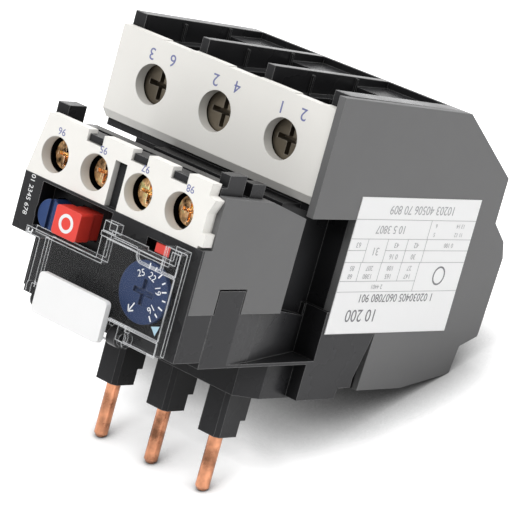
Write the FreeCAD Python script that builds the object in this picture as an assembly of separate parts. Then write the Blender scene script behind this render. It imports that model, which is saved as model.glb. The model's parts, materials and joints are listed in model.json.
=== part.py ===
import FreeCAD, Part
import math
import os

# Plug-in thermal overload relay, three poles, 36 A frame.
# Installed position: pins point up (+Z), the operating face looks along -Y.
# Origin: axis of the middle plug-in pin, where it leaves its shroud.

# ---- driving dimensions, millimetres ----
PIN_PITCH = 13.4          # contactor pole pitch
PIN_R = 1.35
PIN_ROOT_R = 1.6          # thicker root of a pin, inside its shroud
PIN_REACH = 11.2          # bare length of a pin
PIN_ROOT_Z = 0.0
PIN_TO_SIDE = 22.2        # middle pin to the left side plane
CONTROL_WIDTH = 44.7      # front block, left to right
POWER_WIDTH = 56.0        # rear block, left to right
POLE_LEFT_MARGIN = 4.5    # side plane to the first pole's cell
POLE_RIGHT_MARGIN = 2.0
POLE_PITCH = (POWER_WIDTH - POLE_LEFT_MARGIN - POLE_RIGHT_MARGIN) / 3

SHROUD_WIDTH = 4.8
SHROUD_DEPTH = 5.6
DECK_Z = -9.0             # top of the lower deck, root of the shrouds
LEDGE_Z = -16.6           # top of the upper deck
SEAM_Z = -26.8            # top edge of the front side cover
FRONT_STEP_Z = -27.9      # where the front narrows beside the dial
BLOCK_TOP_Z = -17.8       # top of the front block
AUX_TOP_Z = -38.6         # upper edge of the auxiliary terminal cover
AUX_BOTTOM_Z = -50.3      # lower edge of the auxiliary terminal cover
PLATE_TOP_Z = -46.4       # upper edge of the power terminal cover
PLATE_BOTTOM_Z = -64.8    # lower edge of the power terminal cover
BASE_Z = -67.6            # lowest edge of the barrier walls

FRONT_Y = -29.0           # operating face
BLOCK_BACK_Y = -2.9       # rear wall of the front block
DECK_FRONT_Y = -3.5       # front wall of the lower deck
POWER_FRONT_Y = 0.0       # face of the power terminal cover
CHAMBER_REAR_Y = 55.5     # rear face of the main housing
NECK_REAR_Y = 11.9        # front edge of the rear side panel above the terminals

WALL = 1.8                # moulded wall
COVER_T = 1.6             # side covers
FACE_T = 2.4              # white terminal covers
SLIP = 0.15               # clearance between moulded parts that are fitted together
RUN = 0.3                 # clearance round parts that move
SHAFT_FIT = 0.05          # radial clearance of a shaft in its bearing
NECK_INSET = 6.0          # how far the neck stands back from the side plane

POWER_HOLE_R = 3.9
POWER_HOLE_Z = -55.85
POWER_SCREW_R = 4.1       # captive head, wider than its access hole
AUX_HOLE_R = 3.35
AUX_HOLE_Z = -43.4
AUX_SCREW_R = 2.8
AUX_PAIR_PITCH = 10.04    # within one contact's pair of screws
AUX_GAP_PITCH = 11.06     # between the two inner screws
AUX_CENTRE_X = 1.0

DIAL_X = -12.5
DIAL_Z = -27.6
DIAL_R = 5.7
DIAL_SHAFT_R = 2.2
DIAL_FACE_Y = -30.2
DIAL_SLOT_W = 1.0

POCKET_LEFT_X = -0.2
POCKET_RIGHT_X = 17.6
POCKET_BOTTOM_Z = -38.0
POCKET_TOP_Z = -28.6
POCKET_FLOOR_Y = -25.4

STOP_X = 7.6
STOP_Z = -33.4
STOP_W = 6.2
STOP_H = 5.4
STOP_FRONT_Y = -31.6
STOP_TRAVEL = 2.5
RESET_X = 14.6
RESET_Z = -32.6
RESET_R = 2.9
RESET_FRONT_Y = -28.6

CLEAR_T = 0.8             # wall of the clear cover
CLEAR_FRONT_Y = -32.6
CLEAR_HINGE_Z = -18.3
CLEAR_HINGE_Y = -30.6
CLEAR_PIN_R = 0.9

MARK_WIDTH = 17.0
MARK_HEIGHT = 7.8
MARK_T = 1.2

LEFT = -PIN_TO_SIDE
INNER_LEFT = LEFT + COVER_T
CONTROL_RIGHT = LEFT + CONTROL_WIDTH
POWER_RIGHT = LEFT + POWER_WIDTH
POLES = [LEFT + POLE_LEFT_MARGIN + POLE_PITCH * (k + 0.5) for k in range(3)]
PINS = [-PIN_PITCH, 0.0, PIN_PITCH]
AUX_X = [AUX_CENTRE_X + side * (AUX_GAP_PITCH / 2 + n * AUX_PAIR_PITCH)
         for side, n in ((-1, 1), (-1, 0), (1, 0), (1, 1))]

X = FreeCAD.Vector(1, 0, 0)
Y = FreeCAD.Vector(0, 1, 0)
Z = FreeCAD.Vector(0, 0, 1)


# ---- shape helpers ----
def block(x0, x1, y0, y1, z0, z1):
    """Box between two corners."""
    return Part.makeBox(x1 - x0, y1 - y0, z1 - z0, FreeCAD.Vector(x0, y0, z0))


def rod(r, start, axis, length):
    """Cylinder from a start point along an axis."""
    return Part.makeCylinder(r, length, FreeCAD.Vector(*start), axis)


def cone(r0, r1, start, axis, length):
    """Truncated cone from a start point along an axis."""
    return Part.makeCone(r0, r1, length, FreeCAD.Vector(*start), axis)


def prism(points, axis, low, high):
    """Polygon of two coordinates, extruded along the third axis."""
    if axis == "x":
        corners = [FreeCAD.Vector(low, a, b) for a, b in points]
        along = X
    elif axis == "y":
        corners = [FreeCAD.Vector(a, low, b) for a, b in points]
        along = Y
    else:
        corners = [FreeCAD.Vector(a, b, low) for a, b in points]
        along = Z
    face = Part.Face(Part.makePolygon(corners + corners[:1]))
    return face.extrude(along * (high - low))


def fuse(shapes):
    """One solid from touching or overlapping shapes."""
    first, rest = shapes[0], shapes[1:]
    return first.multiFuse(rest).removeSplitter() if rest else first


def cut(shape, tools):
    """Shape less every tool."""
    for tool in tools:
        shape = shape.cut(tool)
    return shape


def straight_edges(shape, axis, test):
    """Straight edges parallel to an axis whose middle passes a test."""
    found = []
    for edge in shape.Edges:
        if not isinstance(edge.Curve, (Part.Line, Part.LineSegment)):
            continue
        run = edge.Vertexes[-1].Point - edge.Vertexes[0].Point
        if run.Length > 0 and abs(abs(run.dot(axis)) - run.Length) < 1e-6:
            if test(edge.CenterOfMass):
                found.append(edge)
    return found


def soften(shape, radius, axis, test):
    """Round the chosen straight edges."""
    edges = straight_edges(shape, axis, test)
    return shape.makeFillet(radius, edges) if edges else shape


# ---- outlines that several parts share ----
RISE = 1.4                # how far the underside climbs to its rear corner
HEEL_Y = 57.0             # rear of the main panel
HEEL_Z = -53.8
NOTCH_Z = -44.6           # inner corner of the notch behind the panel
TAIL_Y = 63.0             # rearmost face
TAIL_LOW_Z = -37.4
TAIL_TOP_Z = -21.0
SHOULDER_Z = -13.2
ROOF_Y = 41.3
ROOF_Z = -10.6
GAP_Y = 27.6              # rear side of the slot behind the hooking lug
KNEE_Y = 38.8


def rear_outline(front_y, front_z):
    """Side outline of the rear block from a front edge backwards."""
    return [
        (front_y, front_z), (front_y, BASE_Z), (KNEE_Y, BASE_Z + RISE), (HEEL_Y, HEEL_Z),
        (HEEL_Y, NOTCH_Z), (TAIL_Y - 1.4, TAIL_LOW_Z - 3.4), (TAIL_Y, TAIL_LOW_Z),
        (TAIL_Y - 0.9, TAIL_TOP_Z), (HEEL_Y, TAIL_TOP_Z + 2.0), (HEEL_Y - 0.6, SHOULDER_Z),
        (ROOF_Y, ROOF_Z), (GAP_Y, ROOF_Z),
    ]


RECESS_LOW_Z = -44.8      # lower edge of the dark neck between the two blocks
LABEL_TOP_Z = -22.4
LUG_FRONT_Y = 10.5
LUG_REAR_Y = 20.8
SLOT_MOUTH_Y = 24.6


def side_panel_outline():
    """Side outline of the rear block's side cover."""
    return rear_outline(-1.0, RECESS_LOW_Z) + [
        (GAP_Y, LABEL_TOP_Z), (NECK_REAR_Y, LABEL_TOP_Z), (NECK_REAR_Y, RECESS_LOW_Z),
    ]

# ---- rear block ----
BAY_HALF = (POLE_PITCH - WALL) / 2
CHAMBER_FRONT_Y = 22.0
CHAMBER_FLOOR_Z = -61.0
CHAMBER_ROOF_Z = -20.0
BARRIER_FRONT_Y = FACE_T    # the barrier edges start behind the white plate
BAY_ROOF_Z = -62.8        # floor of the recess between two barrier walls
BAY_REAR_Y = 27.8
BAY_STEP_Z = -64.9
ENTRY_HALF = 4.6          # half width of a power wire entry
ENTRY_FRONT_Y = 9.0
ENTRY_REAR_Y = 17.6
CLAMP_CELL_TOP_Z = -48.6
CELL_REAR_Y = 19.4
SLIDE_Z = -27.5
SLIDE_H = 3.0
SLIDE_Y = 24.2
SLIDE_D = 1.6
LUG_WIDTH = 6.0
LUG_TOP_Z = -9.4
SLOT_DEPTH = 5.0
PASSAGE_X = -9.0          # lever passage through the neck
PASSAGE_HALF = 4.0
PASSAGE_LOW_Z = -32.5
PASSAGE_TOP_Z = -28.4


def lug_outline():
    """Side outline of the hooking lug beside the shrouds."""
    return [
        (LUG_FRONT_Y + 1.0, SEAM_Z + 2.4), (LUG_FRONT_Y - 1.4, LEDGE_Z), (LUG_FRONT_Y - 1.4, LUG_TOP_Z),
        (LUG_REAR_Y - 0.4, LUG_TOP_Z), (LUG_REAR_Y, LUG_TOP_Z - 2.1), (SLOT_MOUTH_Y, LUG_TOP_Z - 2.1),
        (GAP_Y - 0.2, LABEL_TOP_Z), (NECK_REAR_Y, LABEL_TOP_Z), (NECK_REAR_Y, SEAM_Z + 2.4),
    ]


def main_shell():
    """Outer form of the main housing before its hollows."""
    body = prism([(FACE_T, RECESS_LOW_Z), (FACE_T, BASE_Z), (KNEE_Y, BASE_Z + RISE), (HEEL_Y, HEEL_Z),
                  (HEEL_Y, SHOULDER_Z), (ROOF_Y, ROOF_Z), (NECK_REAR_Y, ROOF_Z),
                  (NECK_REAR_Y, RECESS_LOW_Z)], "x", INNER_LEFT, POWER_RIGHT)
    neck = block(LEFT + NECK_INSET, CONTROL_RIGHT - NECK_INSET, BLOCK_BACK_Y, NECK_REAR_Y + 1,
                 RECESS_LOW_Z - 1, SEAM_Z)
    upper = block(LEFT, CONTROL_RIGHT, DECK_START_Y, NECK_REAR_Y, SEAM_Z, LEDGE_Z)
    lower = prism([(LEFT + 5.2, DECK_FRONT_Y), (LEFT + 2.7, 1.5), (LEFT + 2.7, NECK_REAR_Y + 1),
                   (CONTROL_RIGHT - 2.7, NECK_REAR_Y + 1), (CONTROL_RIGHT - 2.7, 1.5),
                   (CONTROL_RIGHT - 5.2, DECK_FRONT_Y)], "z", LEDGE_Z, DECK_Z)
    lugs = [prism(lug_outline(), "x", LEFT, LEFT + LUG_WIDTH),
            prism(lug_outline(), "x", CONTROL_RIGHT - LUG_WIDTH, CONTROL_RIGHT)]
    return fuse([body, neck, upper, lower] + lugs + barrier_noses())


DECK_START_Y = -21.9
TONGUE_FRONT_Y = -21.4
TONGUE_REAR_Y = -14.4
TONGUE_LOW_Z = -31.2
HOLLOW_DEPTH = 5.2
HOLLOW_TOP_Z = -17.2


def side_hollows():
    """Concave finger hollows in the two ends of the upper deck, and the slopes beside the neck."""
    hollow = [(LEFT - 1, TONGUE_REAR_Y), (LEFT, TONGUE_REAR_Y), (LEFT + 0.9, TONGUE_REAR_Y + 7.0),
              (LEFT + 2.6, TONGUE_REAR_Y + 14.0), (LEFT + HOLLOW_DEPTH, LUG_FRONT_Y + 0.6),
              (LEFT - 1, LUG_FRONT_Y + 0.6)]
    slope = prism([(BLOCK_BACK_Y, SEAM_Z), (LUG_FRONT_Y, SEAM_Z + 2.4), (LUG_FRONT_Y, SEAM_Z - 1),
                   (BLOCK_BACK_Y, SEAM_Z - 1)], "x", LEFT - 1, LEFT + NECK_INSET)
    left = [prism(hollow, "z", SEAM_Z - 1, HOLLOW_TOP_Z), slope]
    middle = (LEFT + CONTROL_RIGHT) / 2
    return left + [tool.mirror(FreeCAD.Vector(middle, 0, 0), X) for tool in left]


def shroud(pin_x):
    """Insulating sleeve round the root of one plug-in pin, stepped at its rear."""
    half = SHROUD_WIDTH / 2
    front = -SHROUD_DEPTH / 2
    outline = [(pin_x - half, front + 0.8), (pin_x - half + 0.8, front), (pin_x + half, front),
               (pin_x + half, -front), (pin_x - half, -front)]
    sleeve = prism(outline, "z", DECK_Z - 0.5, 0.0)
    foot = block(pin_x - half, pin_x + half, -front - 0.5, -front + 1.4, DECK_Z - 0.5, -3.2)
    return fuse([sleeve, foot])


def power_bay(pole_x):
    """Hollows of one pole: heater chamber, clamp cell, wire entry and bay between barriers."""
    low, high = pole_x - BAY_HALF, pole_x + BAY_HALF
    chamber = prism([(CHAMBER_FRONT_Y, CHAMBER_FLOOR_Z), (KNEE_Y - 2, CHAMBER_FLOOR_Z),
                     (HEEL_Y + 1, HEEL_Z + 4.0), (HEEL_Y + 1, CHAMBER_ROOF_Z),
                     (CHAMBER_FRONT_Y, CHAMBER_ROOF_Z)], "x", low, high)
    cell = block(low, high, FACE_T - 1, CELL_REAR_Y, BAY_ROOF_Z + WALL, CLAMP_CELL_TOP_Z)
    bay = block(low, high, FACE_T - 1, BAY_REAR_Y, BASE_Z - 1, BAY_ROOF_Z)
    step = block(low, high, BAY_REAR_Y - 1, KNEE_Y - 1, BASE_Z - 1, BAY_STEP_Z)
    entry = block(pole_x - ENTRY_HALF, pole_x + ENTRY_HALF, ENTRY_FRONT_Y, ENTRY_REAR_Y,
                  BASE_Z - 1, BAY_ROOF_Z + WALL + 1)
    strap = block(pole_x - 2.7, pole_x + 2.7, CELL_REAR_Y - 1, CHAMBER_FRONT_Y + 1,
                  CLAMP_CELL_TOP_Z - 2.2, CLAMP_CELL_TOP_Z - 0.6)
    return [chamber, cell, bay, step, entry, strap]


def make_main_housing():
    """Moulded housing with three heater chambers, neck, decks, lugs and pin shrouds."""
    shell = fuse([main_shell()] + [shroud(x) for x in PINS])
    tools = side_hollows()
    for pole_x in POLES:
        tools += power_bay(pole_x)
    slide_path = block(INNER_LEFT - 1, POLES[2] + BAY_HALF, SLIDE_Y - SLIDE_D / 2 - RUN,
                       SLIDE_Y + SLIDE_D / 2 + RUN, RETURN_Z - SLIDE_H / 2 - RUN,
                       SLIDE_Z + SLIDE_H / 2 + RUN)
    passage = block(PASSAGE_X - PASSAGE_HALF, PASSAGE_X + PASSAGE_HALF, BLOCK_BACK_Y - 1,
                    CHAMBER_FRONT_Y + 3, PASSAGE_LOW_Z, PASSAGE_TOP_Z)
    wedge = prism([(GAP_Y, LABEL_TOP_Z), (SLOT_MOUTH_Y, LUG_TOP_Z - 4.0), (SLOT_MOUTH_Y, DECK_Z + 1),
                   (GAP_Y, DECK_Z + 1)], "x", LEFT - 1, LEFT + SLOT_DEPTH)
    tools += [slide_path, passage, wedge, cam_room()]
    tools += [conductor_path(k) for k in range(3)]
    tongue = block(LEFT, LEFT + COVER_T, TONGUE_FRONT_Y, TONGUE_REAR_Y, TONGUE_LOW_Z, SEAM_Z + 1)
    rear_trim = block(LEFT - 5, POWER_RIGHT + 5, CHAMBER_REAR_Y, TAIL_Y + 5, BASE_Z - 5, 5)
    shell = cut(fuse([shell, tongue]), tools + [rear_trim])
    return fuse([cut(shell, [lever_pin_hole()])] + barrier_ribs())


# ---- current path ----
STRAP_T = 1.2
STRAP_W = 5.0
RISER_Y = 0.0
STRAP_Z = -13.0           # level of the strap under the shrouds
BIMETAL_Y = 36.0
BIMETAL_W = 5.0
BIMETAL_T = 0.9
BIMETAL_TOP_Z = -25.0


JOG_START_Y = 15.5
JOG_END_Y = 20.5


def strap_outline(k, grow):
    """Plan outline of the strap from a plug-in pin back to its heater chamber."""
    half = STRAP_W / 2 + grow
    a, b = PINS[k], POLES[k]
    front, rear = -half, BIMETAL_Y + BIMETAL_W / 2 + grow
    return [(a - half, front), (a + half, front), (a + half, JOG_START_Y - grow),
            (b + half, JOG_END_Y - grow),
            (b + half, rear), (b - half, rear), (b - half, JOG_END_Y + grow), (a - half, JOG_START_Y + grow)]


def conductor_path(k):
    """Slot that the strap of one pole runs through, from its pin to its chamber."""
    run = prism(strap_outline(k, SLIP), "z", STRAP_Z - STRAP_T - SLIP, STRAP_Z + SLIP)
    pin_hole = rod(PIN_ROOT_R + SHAFT_FIT, (PINS[k], RISER_Y, STRAP_Z), Z, -STRAP_Z + 1)
    drop = block(POLES[k] - BIMETAL_T - 2.6, POLES[k] + BIMETAL_T + 2.6,
                 BIMETAL_Y - STRAP_W / 2, BIMETAL_Y + STRAP_W / 2 + SLIP, CHAMBER_ROOF_Z - 1, STRAP_Z)
    return fuse([run, pin_hole, drop])


def make_plug_conductor(k):
    """Plug-in pin with the copper strap that leads back to the heater."""
    root = rod(PIN_ROOT_R, (PINS[k], RISER_Y, STRAP_Z - STRAP_T), Z, PIN_ROOT_Z - STRAP_Z + STRAP_T)
    pin = rod(PIN_R, (PINS[k], RISER_Y, PIN_ROOT_Z), Z, PIN_REACH - PIN_ROOT_Z - 0.6)
    tip = cone(PIN_R, PIN_R - 0.45, (PINS[k], RISER_Y, PIN_REACH - 0.6), Z, 0.6)
    strap = prism(strap_outline(k, 0.0), "z", STRAP_Z - STRAP_T, STRAP_Z)
    blade_x = POLES[k] + BIMETAL_T / 2 + WINDING_GAP + WINDING_T
    blade = block(blade_x, blade_x + STRAP_T, BIMETAL_Y + 0.4, BIMETAL_Y + 2.4, BLADE_LOW_Z, STRAP_Z)
    return fuse([root, pin, tip, strap, blade])


WINDING_GAP = 0.25
WINDING_T = 0.7
WINDING_TURNS = 6
WINDING_PITCH = 2.0
WINDING_H = 1.2
WINDING_LOW_Z = -44.0
BLADE_LOW_Z = -36.0
LOAD_STRAP_Z = CLAMP_CELL_TOP_Z - 2.0
TAB_H = 5.0


def make_bimetal(k):
    """Bimetal strip that bends sideways, welded to the tab of the load strap."""
    x0 = POLES[k] - BIMETAL_T / 2
    return block(x0, x0 + BIMETAL_T, BIMETAL_Y - BIMETAL_W / 2, BIMETAL_Y + BIMETAL_W / 2,
                 LOAD_STRAP_Z + STRAP_T, BIMETAL_TOP_Z)


def make_heater(k):
    """Heater ribbon wound round the bimetal; its last turn closes on the strip."""
    gap_x = BIMETAL_T / 2 + WINDING_GAP
    gap_y = BIMETAL_W / 2 + WINDING_GAP
    turns = []
    for n in range(WINDING_TURNS):
        z0 = WINDING_LOW_Z + n * WINDING_PITCH
        outer = block(POLES[k] - gap_x - WINDING_T, POLES[k] + gap_x + WINDING_T,
                      BIMETAL_Y - gap_y - WINDING_T, BIMETAL_Y + gap_y + WINDING_T, z0, z0 + WINDING_H)
        inner = block(POLES[k] - gap_x, POLES[k] + gap_x, BIMETAL_Y - gap_y, BIMETAL_Y + gap_y,
                      z0 - 1, z0 + WINDING_H + 1)
        turns.append(outer.cut(inner))
    for n in range(WINDING_TURNS - 1):
        z0 = WINDING_LOW_Z + n * WINDING_PITCH
        side = 1 if n % 2 else -1
        y0 = BIMETAL_Y + side * (gap_y + WINDING_T / 2)
        turns.append(block(POLES[k] - 0.6, POLES[k] + 0.6, y0 - WINDING_T / 2, y0 + WINDING_T / 2,
                           z0, z0 + WINDING_PITCH + WINDING_H / 2))
    weld = block(POLES[k] - gap_x, POLES[k] - BIMETAL_T / 2, BIMETAL_Y - 1.2, BIMETAL_Y + 1.2,
                 WINDING_LOW_Z, WINDING_LOW_Z + WINDING_H)
    return fuse(turns + [weld])


def make_load_strap(k):
    """Copper strap from the foot of the bimetal forward to the power clamp."""
    half = STRAP_W / 2
    bar = block(POLES[k] - half, POLES[k] + half, CLAMP_Y, BIMETAL_Y + BIMETAL_W / 2,
                LOAD_STRAP_Z, LOAD_STRAP_Z + STRAP_T)
    tab = block(POLES[k] + BIMETAL_T / 2, POLES[k] + BIMETAL_T / 2 + STRAP_T, BIMETAL_Y - BIMETAL_W / 2,
                BIMETAL_Y + BIMETAL_W / 2, LOAD_STRAP_Z, LOAD_STRAP_Z + STRAP_T + TAB_H)
    plate = block(POLES[k] - half, POLES[k] + half, CLAMP_Y, CLAMP_Y + CLAMP_T, CLAMP_LOW_Z,
                  LOAD_STRAP_Z + STRAP_T)
    screw_hole = rod(POWER_SHANK_R + SLIP, (POLES[k], CLAMP_Y - 1, POWER_HOLE_Z), Y, CLAMP_T + 2)
    return fuse([bar, tab, plate]).cut(screw_hole)


CLAMP_Y = 8.0             # front of the fixed clamp plate
CLAMP_T = 1.4
CLAMP_LOW_Z = -60.2
CAGE_WALL = 1.2
CAGE_W = 10.0
POWER_SHANK_R = 2.0
POWER_HEAD_Y = 2.9
SCREW_LENGTH = 9.5


def make_power_clamps():
    """Steel pressure washers under the power screws, one per pole."""
    plates = []
    for x in POLES:
        plate = block(x - CAGE_W / 2, x + CAGE_W / 2, CLAMP_Y - CAGE_WALL, CLAMP_Y, CLAMP_LOW_Z,
                      POWER_HOLE_Z + 4.8)
        lips = [block(x - CAGE_W / 2, x - CAGE_W / 2 + CAGE_WALL, CLAMP_Y - CAGE_WALL,
                      CLAMP_Y + CAGE_WALL, CLAMP_LOW_Z, POWER_HOLE_Z + 4.8),
                block(x + CAGE_W / 2 - CAGE_WALL, x + CAGE_W / 2, CLAMP_Y - CAGE_WALL,
                      CLAMP_Y + CAGE_WALL, CLAMP_LOW_Z, POWER_HOLE_Z + 4.8)]
        hole = rod(POWER_SHANK_R + SLIP, (x, CLAMP_Y - 3, POWER_HOLE_Z), Y, 6)
        plates.append(fuse([plate] + lips).cut(hole))
    return Part.makeCompound(plates)


def cross_screw(x, z, head_y, head_r, head_t, shank_r, length):
    """Terminal screw with a crossed recess, its head towards -Y."""
    head = rod(head_r, (x, head_y, z), Y, head_t)
    shank = rod(shank_r, (x, head_y + head_t - 0.1, z), Y, length)
    arm, width, depth = head_r * 0.72, head_r * 0.24, head_t * 0.6
    recess = [block(x - arm, x + arm, head_y - 1, head_y + depth, z - width / 2, z + width / 2),
              block(x - width / 2, x + width / 2, head_y - 1, head_y + depth, z - arm, z + arm)]
    return cut(fuse([head, shank]), recess)


def make_power_screws():
    """Three power terminal screws."""
    head_t = CLAMP_Y - CAGE_WALL - POWER_HEAD_Y
    return Part.makeCompound([cross_screw(x, POWER_HOLE_Z, POWER_HEAD_Y, POWER_SCREW_R, head_t,
                                          POWER_SHANK_R, SCREW_LENGTH) for x in POLES])


def make_power_nuts():
    """Square nuts that the power screws run into, held in the clamp cells."""
    nuts = []
    for x in POLES:
        nut = block(x - 4.2, x + 4.2, CLAMP_Y + CLAMP_T, CLAMP_Y + CLAMP_T + 3.0,
                    POWER_HOLE_Z - 4.0, POWER_HOLE_Z + 4.0)
        nuts.append(nut.cut(rod(POWER_SHANK_R, (x, CLAMP_Y, POWER_HOLE_Z), Y, 12)))
    return Part.makeCompound(nuts)




def make_power_cover():
    """White face over the power terminals, with a screwdriver hole for each pole."""
    left = LEFT + COVER_T + 0.2
    plate = block(left, POWER_RIGHT, POWER_FRONT_Y, FACE_T, PLATE_BOTTOM_Z, PLATE_TOP_Z)
    tools = []
    for x in POLES:
        tools.append(rod(POWER_HOLE_R, (x, POWER_FRONT_Y - 1, POWER_HOLE_Z), Y, FACE_T + 2))
        tools.append(block(x - BAY_HALF, x - 0.5, POWER_FRONT_Y - 1, FACE_T + 1,
                           PLATE_BOTTOM_Z - 1, PLATE_BOTTOM_Z + 0.2))
    bevel = prism([(POWER_FRONT_Y - 0.1, PLATE_TOP_Z - 1.9), (POWER_FRONT_Y - 0.1, PLATE_TOP_Z + 0.1),
                   (POWER_FRONT_Y + 1.7, PLATE_TOP_Z + 0.1)], "x", left - 1, POWER_RIGHT + 1)
    return cut(plate, tools + [bevel])


def barrier_noses():
    """Front edges of the barrier walls, below the white plate."""
    walls = [POLES[0] + POLE_PITCH / 2, POLES[1] + POLE_PITCH / 2]
    noses = [block(x - WALL / 2, x + WALL / 2, BARRIER_FRONT_Y, FACE_T + 1, BASE_Z, PLATE_BOTTOM_Z)
             for x in walls]
    noses.append(block(POWER_RIGHT - WALL, POWER_RIGHT, BARRIER_FRONT_Y, FACE_T + 1, BASE_Z,
                       PLATE_BOTTOM_Z))
    noses.append(block(INNER_LEFT, POLES[0] - BAY_HALF, BARRIER_FRONT_Y, FACE_T + 1, BASE_Z,
                       PLATE_BOTTOM_Z))
    return noses


RIB_T = 0.5
RIB_PROUD = 0.45


def barrier_ribs():
    """Upright ribs on the left faces of the barrier walls, in each bay."""
    ribs = []
    for pole_x in POLES:
        wall_x = pole_x + BAY_HALF
        for y, low_z in ((BAY_REAR_Y / 2, BAY_ROOF_Z), (BAY_REAR_Y - RIB_T, BAY_ROOF_Z)):
            ribs.append(block(wall_x - RIB_PROUD, wall_x + 0.2, y, y + RIB_T, BASE_Z + 1.2, low_z + 0.2))
    return ribs


def make_rear_cover():
    """Rear cover that closes the heater chambers, with a locating rib in each of them."""
    form = prism(rear_outline(CHAMBER_REAR_Y - 5, CHAMBER_ROOF_Z), "x", INNER_LEFT, POWER_RIGHT)
    keep = block(INNER_LEFT, POWER_RIGHT, CHAMBER_REAR_Y, TAIL_Y + 1, BASE_Z, 0)
    shell = form.common(keep)
    ribs = []
    for x in POLES:
        low, high = x - BAY_HALF + SLIP, x + BAY_HALF - SLIP
        outer = block(low, high, CHAMBER_REAR_Y - 1.5, CHAMBER_REAR_Y + 1, HEEL_Z + 6.0,
                      CHAMBER_ROOF_Z - SLIP)
        inner = block(low + 1.2, high - 1.2, CHAMBER_REAR_Y - 3, CHAMBER_REAR_Y + 0.6,
                      HEEL_Z + 7.2, CHAMBER_ROOF_Z - SLIP - 1.2)
        ribs.append(outer.cut(inner))
    return fuse([shell] + ribs)


def make_side_cover():
    """Flat side panel of the rear block, which carries the rating label."""
    panel = prism(side_panel_outline(), "x", LEFT, INNER_LEFT)
    taper = prism([(LEFT - 0.01, LABEL_TOP_Z), (LEFT - 0.01, 0), (LEFT + 0.9, 0)], "y", GAP_Y - 1,
                  TAIL_Y + 1)
    return panel.cut(taper)


LABEL_LENGTH = 38.0
LABEL_HEIGHT = 26.8
LABEL_T = 0.15


def make_rating_label():
    """Paper rating label on the side cover."""
    return block(LEFT - LABEL_T, LEFT, NECK_REAR_Y, NECK_REAR_Y + LABEL_LENGTH,
                 LABEL_TOP_Z - 0.1 - LABEL_HEIGHT, LABEL_TOP_Z - 0.1)


# ---- front block ----
CAVITY_FRONT_Y = FRONT_Y + FACE_T
BELLY_FRONT_Z = AUX_BOTTOM_Z + 2.0   # lower edge of the front block's side, front to rear
BELLY_REAR_Z = AUX_BOTTOM_Z + 2.6
BELLY_KNEE_Y = -13.2
CAVITY_LOW_Z = BELLY_FRONT_Z + WALL
CAVITY_TOP_Z = SEAM_Z - WALL
POCKET_BACK_Y = POCKET_FLOOR_Y + 1.6
STEP_X = 15.8             # right side of the narrow part of the front
EDGE_T = 0.6              # front wall that shows beside the side cover
UPPER_BACK_Y = -22.0      # rear of the upper part of the front
AUX_ENTRY_HALF = 2.8
AUX_ENTRY_FRONT_Y = -22.0
AUX_ENTRY_REAR_Y = -16.4
SLOT_X0 = -0.6            # slot in the white cover between the two contacts
SLOT_X1 = 2.3
SLOT_LOW_Z = -47.1
FLAG_X = -12.9
FLAG_Z = -35.6
FLAG_W = 3.6
FLAG_H = 1.8
FLAG_TRAVEL = 1.5
TEST_X = -17.1
TEST_Z = -34.8
TEST_R = 1.2
GUIDE_W = 2.4             # stems of the two buttons
GUIDE_Y = -17.6           # rear end of the button springs
SLIDE_FIT = 0.08          # clearance of the contact carriage in its guides
CARRIAGE_Y = -10.6
CARRIAGE_Z = -37.6
CARRIAGE_D = 2.8
CARRIAGE_H = 3.0
GUIDE_X = [-1.4, 4.2]
SPRING_R = 1.9
SPRING_WIRE = 0.5
SPRING_STEPS = 8          # straight runs in one turn of a spring


def front_form():
    """Outer form of the front housing."""
    lower = prism([(FRONT_Y, SEAM_Z), (FRONT_Y, AUX_BOTTOM_Z + 0.7),
                   (CAVITY_FRONT_Y + WALL, AUX_BOTTOM_Z + 0.7),
                   (CAVITY_FRONT_Y + WALL, BELLY_FRONT_Z), (BELLY_KNEE_Y, BELLY_REAR_Z),
                   (BLOCK_BACK_Y, RECESS_LOW_Z), (BLOCK_BACK_Y, SEAM_Z)], "x", INNER_LEFT, CONTROL_RIGHT)
    lip = block(LEFT, INNER_LEFT + 0.5, FRONT_Y, FRONT_Y + EDGE_T, AUX_TOP_Z, SEAM_Z)
    upper = block(LEFT, STEP_X, FRONT_Y, UPPER_BACK_Y, SEAM_Z, BLOCK_TOP_Z)
    return fuse([lower, lip, upper])


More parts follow.
